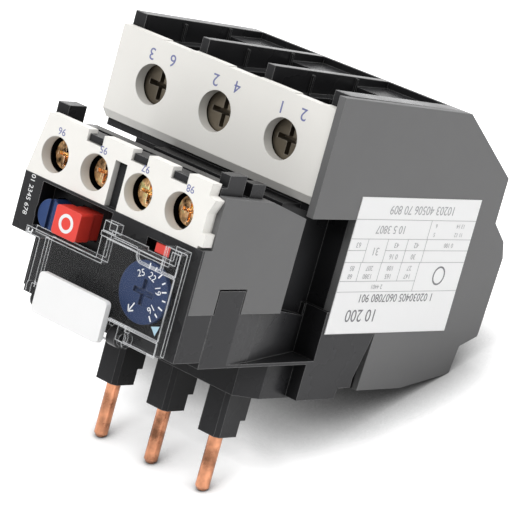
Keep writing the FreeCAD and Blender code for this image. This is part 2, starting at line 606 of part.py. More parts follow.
def make_front_housing():
    """Housing of the front block: button pocket, dial seat, terminal cells and guides."""
    body = front_form()
    corner = block(STEP_X, CONTROL_RIGHT + 1, FRONT_Y - 1, UPPER_BACK_Y, FRONT_STEP_Z, 0)
    seat = block(LEFT - 1, CONTROL_RIGHT + 1, FRONT_Y - 1, CAVITY_FRONT_Y, AUX_BOTTOM_Z - 2, AUX_TOP_Z)
    cavity_low = prism([(CAVITY_FRONT_Y - 1, AUX_TOP_Z - 1.2), (CAVITY_FRONT_Y - 1, CAVITY_LOW_Z),
                        (BELLY_KNEE_Y - WALL, CAVITY_LOW_Z), (BLOCK_BACK_Y - WALL, RECESS_LOW_Z + WALL),
                        (BLOCK_BACK_Y - WALL, AUX_TOP_Z - 1.2)], "x", INNER_LEFT - 1, CONTROL_RIGHT - WALL)
    cavity = block(INNER_LEFT - 1, CONTROL_RIGHT - WALL, POCKET_BACK_Y, BLOCK_BACK_Y - WALL,
                   AUX_TOP_Z - 2, CAVITY_TOP_Z)
    pocket = block(POCKET_LEFT_X, POCKET_RIGHT_X, FRONT_Y - 1, POCKET_FLOOR_Y, POCKET_BOTTOM_Z, POCKET_TOP_Z)
    stop_hole = block(STOP_X - GUIDE_W - RUN, STOP_X + GUIDE_W + RUN, FRONT_Y, POCKET_BACK_Y + 1,
                      STOP_Z - GUIDE_W - RUN, STOP_Z + GUIDE_W + RUN)
    reset_hole = rod(RESET_R + RUN, (RESET_X, FRONT_Y, RESET_Z), Y, POCKET_BACK_Y + 1 - FRONT_Y)
    dial_hole = rod(DIAL_SHAFT_R + SHAFT_FIT, (DIAL_X, FRONT_Y - 1, DIAL_Z), Y, 12)
    test_hole = rod(TEST_R, (TEST_X, FRONT_Y - 1, TEST_Z), Y, 8)
    flag_slot = block(FLAG_X - FLAG_W / 2 - RUN, FLAG_X + FLAG_W / 2 + FLAG_TRAVEL + RUN, FRONT_Y - 1,
                      POCKET_BACK_Y + 1, FLAG_Z - FLAG_H / 2 - RUN, FLAG_Z + FLAG_H / 2 + RUN)
    passage = block(PASSAGE_X - PASSAGE_HALF, PASSAGE_X + PASSAGE_HALF, BLOCK_BACK_Y - WALL - 1,
                    BLOCK_BACK_Y + 1, PASSAGE_LOW_Z, PASSAGE_TOP_Z)
    entries = [block(x - AUX_ENTRY_HALF, x + AUX_ENTRY_HALF, AUX_ENTRY_FRONT_Y, AUX_ENTRY_REAR_Y,
                     AUX_BOTTOM_Z - 1, CAVITY_LOW_Z + 1) for x in AUX_X]
    side_seat = block(LEFT - 1, INNER_LEFT, FRONT_Y + EDGE_T, CAVITY_FRONT_Y + 1, AUX_TOP_Z - 1, SEAM_Z)
    tools = [side_seat, corner, seat, cavity_low, cavity, pocket, stop_hole, reset_hole, dial_hole,
             test_hole,
             flag_slot, passage, cam_room()] + entries
    body = cut(body, tools)
    boss = cut(rod(DIAL_SHAFT_R + 1.4, (DIAL_X, POCKET_BACK_Y - 0.2, DIAL_Z), Y, 3.0),
               [dial_hole, block(DIAL_X - 9, DIAL_X + 9, -30, 0, CAVITY_TOP_Z, 0)])
    rib = block(SLOT_X0 + SLIP, SLOT_X1 - SLIP, FRONT_Y + 1.2, CAVITY_FRONT_Y + 3.0, SLOT_LOW_Z + SLIP,
                AUX_TOP_Z + 0.5)
    spine = block(SLOT_X0 + SLIP, SLOT_X1 - SLIP, CAVITY_FRONT_Y, AUX_ENTRY_REAR_Y + 2, CAVITY_LOW_Z - 0.8,
                  AUX_TOP_Z + 0.5)
    walls = [block(x - WALL / 2, x + WALL / 2, CAVITY_FRONT_Y, AUX_ENTRY_REAR_Y + 2, CAVITY_LOW_Z - 0.8,
                   AUX_TOP_Z) for x in ((AUX_X[0] + AUX_X[1]) / 2, (AUX_X[2] + AUX_X[3]) / 2)]
    clips = [block(x - 1.8, x + 1.8, FRONT_Y + 0.5, CAVITY_FRONT_Y + 0.5, AUX_BOTTOM_Z + 0.7,
                   AUX_BOTTOM_Z + 2.0) for x in CLIP_X]
    knobs = [block(CONTROL_RIGHT - KNOB_W, CONTROL_RIGHT - 0.1, KNOB_Y - 2.3, KNOB_Y + 2.3,
                   AUX_BOTTOM_Z - 1.6,
                   BELLY_FRONT_Z + 0.8),
             block(INNER_LEFT, INNER_LEFT + 2.2, KNOB_Y - 2.3, KNOB_Y + 2.3, AUX_BOTTOM_Z - 1.6,
                   BELLY_FRONT_Z + 0.8),
             block(INNER_LEFT, INNER_LEFT + 2.2, KNOB_Y + 4.4, KNOB_Y + 8.0, AUX_BOTTOM_Z - 0.2,
                   BELLY_REAR_Z + 0.8)]
    eyes = [hinge_eye(x) for x in HINGE_X]
    guides = [carriage_guide(x) for x in GUIDE_X]
    return fuse([body, boss, rib, spine] + walls + clips + knobs + eyes + guides)


CLIP_X = [8.2, -3.0, -12.8]
KNOB_W = 3.0
KNOB_Y = -22.8
RESET_STEM_R = 1.5
HINGE_X = [9.7, -9.7]
HINGE_W = 2.0


def carriage_guide(x):
    """Bracket on the rear wall with the window that the contact carriage slides through."""
    bracket = block(x - 1.0, x + 1.0, CARRIAGE_Y - 2.6, BLOCK_BACK_Y - WALL + 0.5, CARRIAGE_Z - 1.3,
                    CARRIAGE_Z + CARRIAGE_H + 1.2)
    window = block(x - 2, x + 2, CARRIAGE_Y - CARRIAGE_D / 2 - SLIDE_FIT,
                   CARRIAGE_Y + CARRIAGE_D / 2 + SLIDE_FIT,
                   CARRIAGE_Z - SLIDE_FIT, CARRIAGE_Z + CARRIAGE_H + SLIDE_FIT)
    return bracket.cut(window)


def hinge_eye(x):
    """Ear with the bore that a hinge pin of the clear cover turns in."""
    eye = rod(CLEAR_PIN_R + 0.9, (x - HINGE_W / 2, CLEAR_HINGE_Y, CLEAR_HINGE_Z), X, HINGE_W)
    root = block(x - HINGE_W / 2, x + HINGE_W / 2, CLEAR_HINGE_Y, FRONT_Y + 0.5,
                 CLEAR_HINGE_Z - CLEAR_PIN_R - 0.9, CLEAR_HINGE_Z + CLEAR_PIN_R + 0.2)
    bore = rod(CLEAR_PIN_R + SHAFT_FIT, (x - 3, CLEAR_HINGE_Y, CLEAR_HINGE_Z), X, 6)
    return fuse([eye, root]).cut(bore)


def make_front_side_cover():
    """Side cover of the front block, notched for the snap tongue of the deck."""
    outline = [(CAVITY_FRONT_Y, BELLY_FRONT_Z), (BELLY_KNEE_Y, BELLY_REAR_Z), (BLOCK_BACK_Y, RECESS_LOW_Z),
               (BLOCK_BACK_Y, SEAM_Z), (TONGUE_REAR_Y + SLIP * 2, SEAM_Z),
               (TONGUE_REAR_Y + SLIP * 2, TONGUE_LOW_Z - SLIP * 2),
               (TONGUE_FRONT_Y - SLIP * 2, TONGUE_LOW_Z - SLIP * 2), (TONGUE_FRONT_Y - SLIP * 2, SEAM_Z),
               (FRONT_Y + EDGE_T, SEAM_Z), (FRONT_Y + EDGE_T, AUX_TOP_Z), (CAVITY_FRONT_Y, AUX_TOP_Z)]
    return prism(outline, "x", LEFT, INNER_LEFT)


def make_aux_cover():
    """White face over the auxiliary terminals, with four screwdriver holes and a slot."""
    outline = [(LEFT + 1.6, AUX_TOP_Z), (LEFT + 1.6, AUX_TOP_Z - 0.5), (LEFT + 0.4, AUX_TOP_Z - 0.5),
               (LEFT + 0.4, AUX_TOP_Z - 2.9), (LEFT + 1.3, AUX_TOP_Z - 2.9), (LEFT + 1.3, AUX_TOP_Z - 6.4),
               (LEFT + 0.2, AUX_BOTTOM_Z + 2.6), (LEFT + 2.0, AUX_BOTTOM_Z + 2.2),
               (LEFT + 1.8, AUX_BOTTOM_Z),
               (CONTROL_RIGHT - 2.2, AUX_BOTTOM_Z), (CONTROL_RIGHT, AUX_TOP_Z)]
    plate = prism(outline, "y", FRONT_Y, CAVITY_FRONT_Y)
    tools = [rod(AUX_HOLE_R, (x, FRONT_Y - 1, AUX_HOLE_Z), Y, FACE_T + 2) for x in AUX_X]
    tools.append(block(SLOT_X0, SLOT_X1, FRONT_Y - 1, CAVITY_FRONT_Y + 1, SLOT_LOW_Z, AUX_TOP_Z + 1))
    tools += [block(x - 1.8 - SLIP, x + 1.8 + SLIP, FRONT_Y - 1, CAVITY_FRONT_Y + 1, AUX_BOTTOM_Z - 1,
                    AUX_BOTTOM_Z + 2.0 + SLIP) for x in CLIP_X]
    return cut(plate, tools)


AUX_HEAD_Y = -25.9
AUX_HEAD_T = 2.0
AUX_SHANK_R = 1.5
AUX_PLATE_T = 1.2


def make_aux_screws():
    """Four auxiliary terminal screws."""
    return Part.makeCompound([cross_screw(x, AUX_HOLE_Z, AUX_HEAD_Y, AUX_SCREW_R, AUX_HEAD_T, AUX_SHANK_R,
                                          8.5) for x in AUX_X])


def make_aux_washers():
    """Square pressure washers under the auxiliary screws."""
    y0 = AUX_HEAD_Y + AUX_HEAD_T
    half = AUX_SCREW_R + 0.2
    return Part.makeCompound([block(x - half, x + half, y0, y0 + AUX_PLATE_T, AUX_HOLE_Z - half,
                                    AUX_HOLE_Z + half)
                              .cut(rod(AUX_SHANK_R + SLIP, (x, y0 - 1, AUX_HOLE_Z), Y, 4)) for x in AUX_X])


def make_aux_terminals():
    """Four brass terminal blocks that the auxiliary screws run into, with their fixed contacts."""
    y0 = AUX_HEAD_Y + AUX_HEAD_T + AUX_PLATE_T
    half = AUX_SCREW_R + 0.3
    blocks = []
    for x in AUX_X:
        body = block(x - half, x + half, y0, y0 + 1.6, AUX_HOLE_Z - 1.9, AUX_TOP_Z - 1.3)
        leg = block(x - 1.5, x + 1.5, y0 + 0.4, CONTACT_Y, AUX_TOP_Z - 2.5, AUX_TOP_Z - 1.3)
        pad = rod(1.2, (x, CONTACT_Y - 1.2, AUX_TOP_Z - 1.3), Z, 0.8)
        blocks.append(fuse([body, leg, pad]).cut(rod(AUX_SHANK_R, (x, y0 - 1, AUX_HOLE_Z), Y, 12)))
    return Part.makeCompound(blocks)


CONTACT_Y = -13.5


CAM_Y = FRONT_Y + 8.8
CAM_SHIFT = 0.7
CAM_R = DIAL_SHAFT_R + 0.8


def cam_room():
    """Room in which the cam behind the dial turns."""
    return rod(CAM_R + CAM_SHIFT + 0.5, (DIAL_X, UPPER_BACK_Y, DIAL_Z), Y, CAM_Y + 2.6 - UPPER_BACK_Y)


# ---- parts that move ----
def make_dial():
    """Current setting dial with its shaft and eccentric cam."""
    face = rod(DIAL_R, (DIAL_X, DIAL_FACE_Y, DIAL_Z), Y, FRONT_Y - 0.2 - DIAL_FACE_Y)
    shaft = rod(DIAL_SHAFT_R, (DIAL_X, FRONT_Y - 0.6, DIAL_Z), Y, CAM_Y - FRONT_Y + 0.6)
    cam = rod(CAM_R, (DIAL_X + CAM_SHIFT, CAM_Y, DIAL_Z), Y, 2.0)
    arm, half, floor_y = DIAL_R * 0.42, DIAL_SLOT_W / 2, DIAL_FACE_Y + 0.8
    slot = [block(DIAL_X - arm, DIAL_X + arm, DIAL_FACE_Y - 1, floor_y, DIAL_Z - half, DIAL_Z + half),
            block(DIAL_X - half, DIAL_X + half, DIAL_FACE_Y - 1, floor_y, DIAL_Z - arm, DIAL_Z + arm)]
    return cut(fuse([face, shaft, cam]), slot)


def make_stop_button():
    """Red stop button: square cap on a square stem."""
    cap = block(STOP_X - STOP_W / 2, STOP_X + STOP_W / 2, STOP_FRONT_Y, POCKET_FLOOR_Y - STOP_TRAVEL - 0.3,
                STOP_Z - STOP_H / 2, STOP_Z + STOP_H / 2)
    cap = soften(cap, 0.6, Y, lambda c: True)
    stem = block(STOP_X - GUIDE_W, STOP_X + GUIDE_W, STOP_FRONT_Y + 2, POCKET_BACK_Y + 1.6,
                 STOP_Z - GUIDE_W, STOP_Z + GUIDE_W)
    pin = rod(STEM_PIN_R, (STOP_X, STEM_BACK_Y - 0.2, STOP_Z), Y, GUIDE_Y + 0.6 - STEM_BACK_Y + 0.2)
    return fuse([cap, stem, pin])


STEM_PIN_R = 0.9
STEM_BACK_Y = POCKET_BACK_Y + 1.6


def make_reset_plunger():
    """Round plunger that the blue reset knob turns on."""
    journal = rod(STEM_PIN_R, (RESET_X, RESET_FRONT_Y + 1.4, RESET_Z), Y, STEM_BACK_Y - RESET_FRONT_Y - 1.6)
    collar = rod(RESET_STEM_R, (RESET_X, STEM_BACK_Y - 1.0, RESET_Z), Y, 1.0)
    pin = rod(STEM_PIN_R, (RESET_X, STEM_BACK_Y - 0.2, RESET_Z), Y, GUIDE_Y + 0.6 - STEM_BACK_Y + 0.2)
    return fuse([journal, collar, pin])


def make_reset_knob():
    """Blue reset knob with a slot, turned to choose manual or automatic reset."""
    body = rod(RESET_R, (RESET_X, RESET_FRONT_Y, RESET_Z), Y, STEM_BACK_Y - 1.1 - RESET_FRONT_Y)
    bore = rod(STEM_PIN_R + SHAFT_FIT, (RESET_X, RESET_FRONT_Y + 1.3, RESET_Z), Y, 12)
    slot = block(RESET_X - 0.5, RESET_X + 0.5, RESET_FRONT_Y - 1, RESET_FRONT_Y + 0.8,
                 RESET_Z - RESET_R - 1, RESET_Z + RESET_R + 1)
    return cut(body, [bore, slot])


def coil_spring(x, z, y0, y1, radius, wire, turns):
    """Compression spring along Y, its helix drawn in short straight runs."""
    steps = turns * SPRING_STEPS
    points = []
    for n in range(steps + 1):
        turn = 2 * math.pi * n / SPRING_STEPS
        y = y0 + wire / 2 + (y1 - y0 - wire) * n / steps
        points.append(FreeCAD.Vector(x + radius * math.cos(turn), y, z + radius * math.sin(turn)))
    path = Part.makePolygon(points)
    profile = Part.Wire([Part.makeCircle(wire / 2, points[0], points[1] - points[0])])
    return path.makePipeShell([profile], True, False, 1)


def make_spring(x, z):
    """Return spring of one button, round the pin of its stem."""
    return coil_spring(x, z, STEM_BACK_Y + 0.15, GUIDE_Y - 0.1, SPRING_R - SPRING_WIRE / 2, SPRING_WIRE, 4)


def make_spring_plate():
    """Plate in the front block that the two button springs bear on."""
    low, high = STOP_X - 3.4, CONTROL_RIGHT - WALL
    plate = block(low, high, GUIDE_Y, GUIDE_Y + 1.2, STOP_Z - 3.4, CAVITY_TOP_Z)
    holes = [rod(STEM_PIN_R + SHAFT_FIT, (x, GUIDE_Y - 1, z), Y, 4)
             for x, z in ((STOP_X, STOP_Z), (RESET_X, RESET_Z))]
    return cut(plate, holes)


def make_test_flag():
    """Small red flag that shows through its slot and is pushed sideways to test the relay."""
    tab = block(FLAG_X - FLAG_W / 2, FLAG_X + FLAG_W / 2, FRONT_Y + 0.6, POCKET_BACK_Y + 0.3,
                FLAG_Z - FLAG_H / 2, FLAG_Z + FLAG_H / 2)
    foot = block(FLAG_X - FLAG_W / 2 - 1.2, FLAG_X + FLAG_W / 2 + 1.2, POCKET_BACK_Y + 0.2,
                 POCKET_BACK_Y + 1.4,
                 FLAG_Z - FLAG_H / 2 - 0.8, FLAG_Z + FLAG_H / 2 + 0.8)
    return fuse([tab, foot])


CLEAR_LEFT = INNER_LEFT
CLEAR_LOW_Z = -37.8       # lowest edge, below the test window
CLEAR_MID_Z = -35.0
CLEAR_STEP_Z = -30.4      # edge above the two buttons
CLEAR_RIGHT = 15.6        # end of the ear over the reset knob
CLEAR_ARM_X = 12.0        # right edge of the cover above the ear
EAR_H = 1.3
CLEAR_BACK_Y = FRONT_Y - 1.0
CUT_RIGHT_X = -2.0
WINDOW_X = -17.0
EAR_T = 1.2
EYE_ROOM = 2.6
MARK_X0 = -8.3
MARK_Y = CLEAR_FRONT_Y - MARK_T
MARK_TOP_Z = -16.4


BEAD = 0.35               # raised lines on the clear cover
BEAD_R = 1.5
BEAD_Z = -33.2
FOLD_Z = -21.4


def window_bead():
    """Raised line round the test window, with one rounded corner, and the upright beside it."""
    y0, y1 = CLEAR_FRONT_Y - BEAD, CLEAR_FRONT_Y + 0.2
    turn_x = CUT_RIGHT_X - 9.0
    flat = block(CLEAR_LEFT, turn_x - BEAD_R, y0, y1, BEAD_Z, BEAD_Z + BEAD)
    upright = block(turn_x - BEAD, turn_x, y0, y1, CLEAR_MID_Z, BEAD_Z - BEAD_R + BEAD)
    centre = (turn_x - BEAD_R, y0, BEAD_Z - BEAD_R + BEAD)
    bend = rod(BEAD_R, centre, Y, y1 - y0).cut(rod(BEAD_R - BEAD, centre, Y, y1 - y0))
    corner = bend.common(block(centre[0], turn_x + 1, y0, y1, centre[2], centre[2] + BEAD_R + 1))
    post = block(WINDOW_X - BEAD, WINDOW_X, y0, y1, CLEAR_LOW_Z, BEAD_Z)
    return [flat, upright, corner, post]


def make_clear_cover():
    """Clear hinged cover: a shallow tray with a cut-out for the buttons and a raised test window."""
    front = [(CLEAR_LEFT, CLEAR_HINGE_Z), (CLEAR_LEFT, CLEAR_LOW_Z), (WINDOW_X, CLEAR_LOW_Z),
             (WINDOW_X, CLEAR_MID_Z), (CUT_RIGHT_X, CLEAR_MID_Z), (CUT_RIGHT_X, CLEAR_STEP_Z),
             (CLEAR_RIGHT, CLEAR_STEP_Z), (CLEAR_RIGHT, CLEAR_STEP_Z + EAR_H),
             (CLEAR_ARM_X, CLEAR_STEP_Z + EAR_H), (CLEAR_ARM_X, CLEAR_HINGE_Z)]
    slab = prism(front, "y", CLEAR_FRONT_Y, CLEAR_BACK_Y)
    t = CLEAR_T
    inside = [(CLEAR_LEFT + t, CLEAR_HINGE_Z + 3.0), (CLEAR_LEFT + t, CLEAR_LOW_Z + t),
              (WINDOW_X - t, CLEAR_LOW_Z + t), (WINDOW_X - t, CLEAR_MID_Z + t),
              (CUT_RIGHT_X - t, CLEAR_MID_Z + t), (CUT_RIGHT_X - t, CLEAR_STEP_Z + t),
              (CLEAR_ARM_X - t, CLEAR_STEP_Z + t), (CLEAR_ARM_X - t, CLEAR_HINGE_Z + 3.0)]
    shell = slab.cut(prism(inside, "y", CLEAR_FRONT_Y + CLEAR_T, CLEAR_BACK_Y + 1))
    ears = []
    for x in HINGE_X:
        for side in (-1, 1):
            x0 = x + side * (HINGE_W / 2 + RUN)
            low, high = min(x0, x0 + side * EAR_T), max(x0, x0 + side * EAR_T)
            ears.append(rod(CLEAR_PIN_R + 0.5, (low, CLEAR_HINGE_Y, CLEAR_HINGE_Z), X, EAR_T))
            ears.append(block(low, high, CLEAR_FRONT_Y, CLEAR_HINGE_Y, CLEAR_HINGE_Z - EYE_ROOM,
                              CLEAR_HINGE_Z))
        ears.append(rod(CLEAR_PIN_R, (x - HINGE_W / 2 - RUN - 0.3, CLEAR_HINGE_Y, CLEAR_HINGE_Z), X,
                        HINGE_W + 2 * RUN + 0.6))
    tray = block(MARK_X0 - 0.6, MARK_X0 + MARK_WIDTH, CLEAR_FRONT_Y, CLEAR_FRONT_Y + CLEAR_T,
                 CLEAR_HINGE_Z - 4.0, MARK_TOP_Z - 0.8)
    clear_of_eyes = [block(x - HINGE_W / 2 - RUN, x + HINGE_W / 2 + RUN, CLEAR_FRONT_Y - 1,
                           CLEAR_BACK_Y + 1, CLEAR_HINGE_Z - EYE_ROOM, CLEAR_HINGE_Z + 4)
                     for x in HINGE_X]
    catch = block(CUT_RIGHT_X - 3.1, CUT_RIGHT_X, CLEAR_FRONT_Y, CLEAR_FRONT_Y + 1.6,
                  CLEAR_MID_Z - 2.4, CLEAR_MID_Z + 0.5)
    bead = block(CUT_RIGHT_X - 9.0, CUT_RIGHT_X, CLEAR_FRONT_Y - BEAD, CLEAR_BACK_Y, CLEAR_MID_Z - 0.5,
                 CLEAR_MID_Z + 0.4)
    fold = block(CLEAR_LEFT, MARK_X0 - 0.3, CLEAR_FRONT_Y - BEAD, CLEAR_FRONT_Y + 0.2, FOLD_Z, FOLD_Z + BEAD)
    trim = [catch, bead, fold] + window_bead()
    return fuse([cut(shell, clear_of_eyes), cut(tray, clear_of_eyes)] + trim + ears)


def make_marking_plate():
    """White blank marking plate, carried on the front of the clear cover."""
    plate = block(MARK_X0, MARK_X0 + MARK_WIDTH, MARK_Y, CLEAR_FRONT_Y, MARK_TOP_Z - MARK_HEIGHT, MARK_TOP_Z)
    return soften(plate, 0.9, Y, lambda c: True)


def make_trip_slide(level, y, side):
    """Slide bar across the poles, with a finger beside the free end of each bimetal."""
    bar = block(SLIDE_X0, POLES[2] + 4.0, y - SLIDE_D / 2, y + SLIDE_D / 2, level - SLIDE_H / 2,
                level + SLIDE_H / 2)
    fingers = []
    for x in POLES:
        x0 = x + side * (BIMETAL_T / 2 + FINGER_GAP)
        low, high = min(x0, x0 + side * 1.4), max(x0, x0 + side * 1.4)
        fingers.append(block(low, high, y, BIMETAL_Y - 1.0, level - SLIDE_H / 2, level + SLIDE_H / 2))
    return fuse([bar] + fingers)


FINGER_GAP = 0.4
SLIDE_X0 = -17.0
RETURN_Z = SLIDE_Z - SLIDE_H - 0.8
LEVER_PIVOT_Y = 6.0
LEVER_PIN_R = 1.0
LEVER_T = 1.6
LEVER_W = 2.2
LEVER_REAR_Y = SLIDE_Y - SLIDE_D / 2 - RUN - 0.4
LEVER_FRONT_Y = -11.6
LEVER_Z = (PASSAGE_LOW_Z + PASSAGE_TOP_Z) / 2


def lever_pin_hole():
    """Hole across the neck passage for the pivot pin of the trip lever."""
    return rod(LEVER_PIN_R, (PASSAGE_X, LEVER_PIVOT_Y, PASSAGE_LOW_Z - 2.4), Z,
               PASSAGE_TOP_Z - PASSAGE_LOW_Z + 3.9)


def make_lever_pin():
    """Pivot pin of the trip lever, seated in the neck."""
    return rod(LEVER_PIN_R, (PASSAGE_X, LEVER_PIVOT_Y, PASSAGE_LOW_Z - 2.4), Z,
               PASSAGE_TOP_Z - PASSAGE_LOW_Z + 3.9)


def make_trip_lever():
    """Lever that turns the movement of the slide into that of the contact carriage."""
    hub = rod(LEVER_PIN_R + 1.1, (PASSAGE_X, LEVER_PIVOT_Y, LEVER_Z - LEVER_T / 2), Z, LEVER_T)
    arm = block(PASSAGE_X - LEVER_W / 2, PASSAGE_X + LEVER_W / 2, LEVER_FRONT_Y, LEVER_REAR_Y,
                LEVER_Z - LEVER_T / 2, LEVER_Z + LEVER_T / 2)
    bore = rod(LEVER_PIN_R + SHAFT_FIT, (PASSAGE_X, LEVER_PIVOT_Y, LEVER_Z - 3), Z, 6)
    return fuse([hub, arm]).cut(bore)




def make_contact_carriage():
    """Moulded carriage that the trip lever shifts to work both contacts."""
    bar = block(AUX_X[0] + 1.0, AUX_X[3] - 1.0, CARRIAGE_Y - CARRIAGE_D / 2, CARRIAGE_Y + CARRIAGE_D / 2,
                CARRIAGE_Z, CARRIAGE_Z + CARRIAGE_H)
    fork = [block(PASSAGE_X + side * (LEVER_W / 2 + 0.9) - 0.6, PASSAGE_X + side * (LEVER_W / 2 + 0.9) + 0.6,
                  CARRIAGE_Y - 1.4, CARRIAGE_Y + 1.4, CARRIAGE_Z + 2.0, LEVER_Z + LEVER_T / 2)
            for side in (-1, 1)]
    return fuse([bar] + fork)


def make_contact_bridges():
    """Two copper bridges under the carriage, one for each contact."""
    bridges = []
    for a, b in ((0, 1), (2, 3)):
        strip = block(AUX_X[a] + 1.2, AUX_X[b] - 1.2, CARRIAGE_Y - 1.2, CARRIAGE_Y + 1.2,
                      CARRIAGE_Z - 0.6, CARRIAGE_Z)
        bridges.append(strip)
    return Part.makeCompound(bridges)


def make_compensation_strip():
    """Compensating bimetal beside the dial cam, which shifts the trip point with air temperature."""
    x0 = DIAL_X - CAM_R - CAM_SHIFT - 0.9
    return block(x0, x0 + 0.8, CAM_Y, BLOCK_BACK_Y - WALL, CAVITY_TOP_Z - 5.0, CAVITY_TOP_Z)


def build():
    """Every sub-part by node name."""
    parts = {
        "main_housing": make_main_housing(),
        "rear_cover": make_rear_cover(),
        "side_cover": make_side_cover(),
        "rating_label": make_rating_label(),
        "power_terminal_cover": make_power_cover(),
        "power_clamps": make_power_clamps(),
        "power_screws": make_power_screws(),
        "power_nuts": make_power_nuts(),
        "front_housing": make_front_housing(),
        "front_side_cover": make_front_side_cover(),
        "aux_terminal_cover": make_aux_cover(),
        "aux_screws": make_aux_screws(),
        "aux_washers": make_aux_washers(),
        "aux_terminals": make_aux_terminals(),
        "setting_dial": make_dial(),
        "stop_button": make_stop_button(),
        "stop_spring": make_spring(STOP_X, STOP_Z),
        "reset_plunger": make_reset_plunger(),
        "reset_knob": make_reset_knob(),
        "reset_spring": make_spring(RESET_X, RESET_Z),
        "spring_plate": make_spring_plate(),
        "test_flag": make_test_flag(),
        "clear_cover": make_clear_cover(),
        "marking_plate": make_marking_plate(),
        "trip_slide": make_trip_slide(SLIDE_Z, SLIDE_Y, 1),
        "return_slide": make_trip_slide(RETURN_Z, SLIDE_Y, -1),
        "lever_pin": make_lever_pin(),
        "trip_lever": make_trip_lever(),
        "contact_carriage": make_contact_carriage(),
        "contact_bridges": make_contact_bridges(),
        "compensation_strip": make_compensation_strip(),
    }
    for k in range(3):
        name = str(k + 1)
        parts["plug_conductor_" + name] = make_plug_conductor(k)
        parts["bimetal_" + name] = make_bimetal(k)
        parts["heater_" + name] = make_heater(k)
        parts["load_strap_" + name] = make_load_strap(k)
    return parts


os.makedirs("parts", exist_ok=True)
for node, shape in build().items():
    shape.exportStep(os.path.join("parts", node + ".step"))
    print(node, "solids", len(shape.Solids), "volume", round(shape.Volume, 1), "valid", shape.isValid())
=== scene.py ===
"""Studio scene of a plug-in thermal overload relay that rests upside down on its pins.

The CAD frame gives the form. This script gives it its finishes, its printing,
a floor, soft light and a camera.
"""
from __future__ import annotations

import json
import logging
import math
from dataclasses import dataclass
from enum import Enum

import bmesh
import bpy
from mathutils import Matrix, Vector

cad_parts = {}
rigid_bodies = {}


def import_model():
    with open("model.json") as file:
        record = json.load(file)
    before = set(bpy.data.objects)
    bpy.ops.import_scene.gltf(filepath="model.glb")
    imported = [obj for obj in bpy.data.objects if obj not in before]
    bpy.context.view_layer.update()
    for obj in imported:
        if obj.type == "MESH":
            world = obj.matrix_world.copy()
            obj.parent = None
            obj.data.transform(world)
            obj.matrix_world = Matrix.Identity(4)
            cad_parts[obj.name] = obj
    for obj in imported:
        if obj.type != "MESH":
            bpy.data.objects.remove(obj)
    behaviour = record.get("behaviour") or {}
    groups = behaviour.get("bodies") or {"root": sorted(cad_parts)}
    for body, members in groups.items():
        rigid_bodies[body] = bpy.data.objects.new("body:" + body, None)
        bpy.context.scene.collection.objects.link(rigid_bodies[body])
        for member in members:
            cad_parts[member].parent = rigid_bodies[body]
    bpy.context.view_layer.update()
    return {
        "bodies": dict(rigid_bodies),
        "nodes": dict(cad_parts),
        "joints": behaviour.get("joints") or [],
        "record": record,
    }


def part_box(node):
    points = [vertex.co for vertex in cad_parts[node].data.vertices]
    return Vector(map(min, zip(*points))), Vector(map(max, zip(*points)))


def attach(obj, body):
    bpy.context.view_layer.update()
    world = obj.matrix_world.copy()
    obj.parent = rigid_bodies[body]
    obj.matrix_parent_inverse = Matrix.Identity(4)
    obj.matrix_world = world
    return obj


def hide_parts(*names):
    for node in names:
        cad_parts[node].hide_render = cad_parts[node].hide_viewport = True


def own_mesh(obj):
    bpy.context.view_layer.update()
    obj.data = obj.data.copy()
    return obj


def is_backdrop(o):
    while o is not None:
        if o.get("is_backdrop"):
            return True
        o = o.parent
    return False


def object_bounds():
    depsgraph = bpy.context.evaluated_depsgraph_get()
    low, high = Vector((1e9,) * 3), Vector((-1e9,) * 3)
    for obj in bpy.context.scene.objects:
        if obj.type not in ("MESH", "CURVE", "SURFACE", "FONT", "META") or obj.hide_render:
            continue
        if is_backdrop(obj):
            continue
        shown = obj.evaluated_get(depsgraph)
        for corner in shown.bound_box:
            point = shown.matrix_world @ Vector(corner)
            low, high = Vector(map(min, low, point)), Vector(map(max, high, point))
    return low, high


LOG = logging.getLogger("relay_scene")
MM = 0.001

# ---- camera, in the frame of the part ----
EYE = Vector((-329.19, -415.58, -146.19)) * MM
AIM = Vector((3.0, 19.82, -29.3)) * MM
IMAGE_UP = Vector((0.3337, -0.0016, -0.9427))
LENS_MM = 202.4
SENSOR_MM = 36.0

# ---- floor: the relay leans on its pin tips and on the upper rear edge ----
FLOOR_TILT = math.radians(23.5)
FLOOR_UP = Vector((0.0, -math.sin(FLOOR_TILT), -math.cos(FLOOR_TILT)))
FLOOR_HALF = 2.5


class Body(str, Enum):
    """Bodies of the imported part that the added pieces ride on."""

    RELAY = "relay"
    STOP = "stop_button_body"
    DIAL = "dial_body"
    RESET = "reset_knob_body"
    COVER = "cover_body"


class Kind(Enum):
    """Families of finish, each with its own node network."""

    MOULDED = "moulded"
    METAL = "metal"
    CLEAR = "clear"


@dataclass(frozen=True)
class Finish:
    """One material of the record.

    Attributes:
        slot: Name of the material slot in the record.
        kind: Family that the finish belongs to.
        colour: Linear base colour.
        roughness: Mean roughness.
        grain: Height of the fine grain in millimetres.
        grain_scale: Grain cells per metre.
        mottle: Share by which the colour varies over the surface.
        worn: How much paler the edges are, as a painted highlight.
        streak: Stretch of the grain along the drawing direction of a metal.
        gloss: Specular level.
        recess: How much painted shade darkens the surface in corners and hollows.
        patch: Cells per metre of the slow colour variation.
    """

    slot: str
    kind: Kind
    colour: tuple[float, float, float]
    roughness: float
    grain: float = 0.006
    grain_scale: float = 2600.0
    mottle: float = 0.06
    worn: float = 0.05
    streak: float = 1.0
    gloss: float = 0.5
    recess: float = 0.0
    patch: float = 90.0


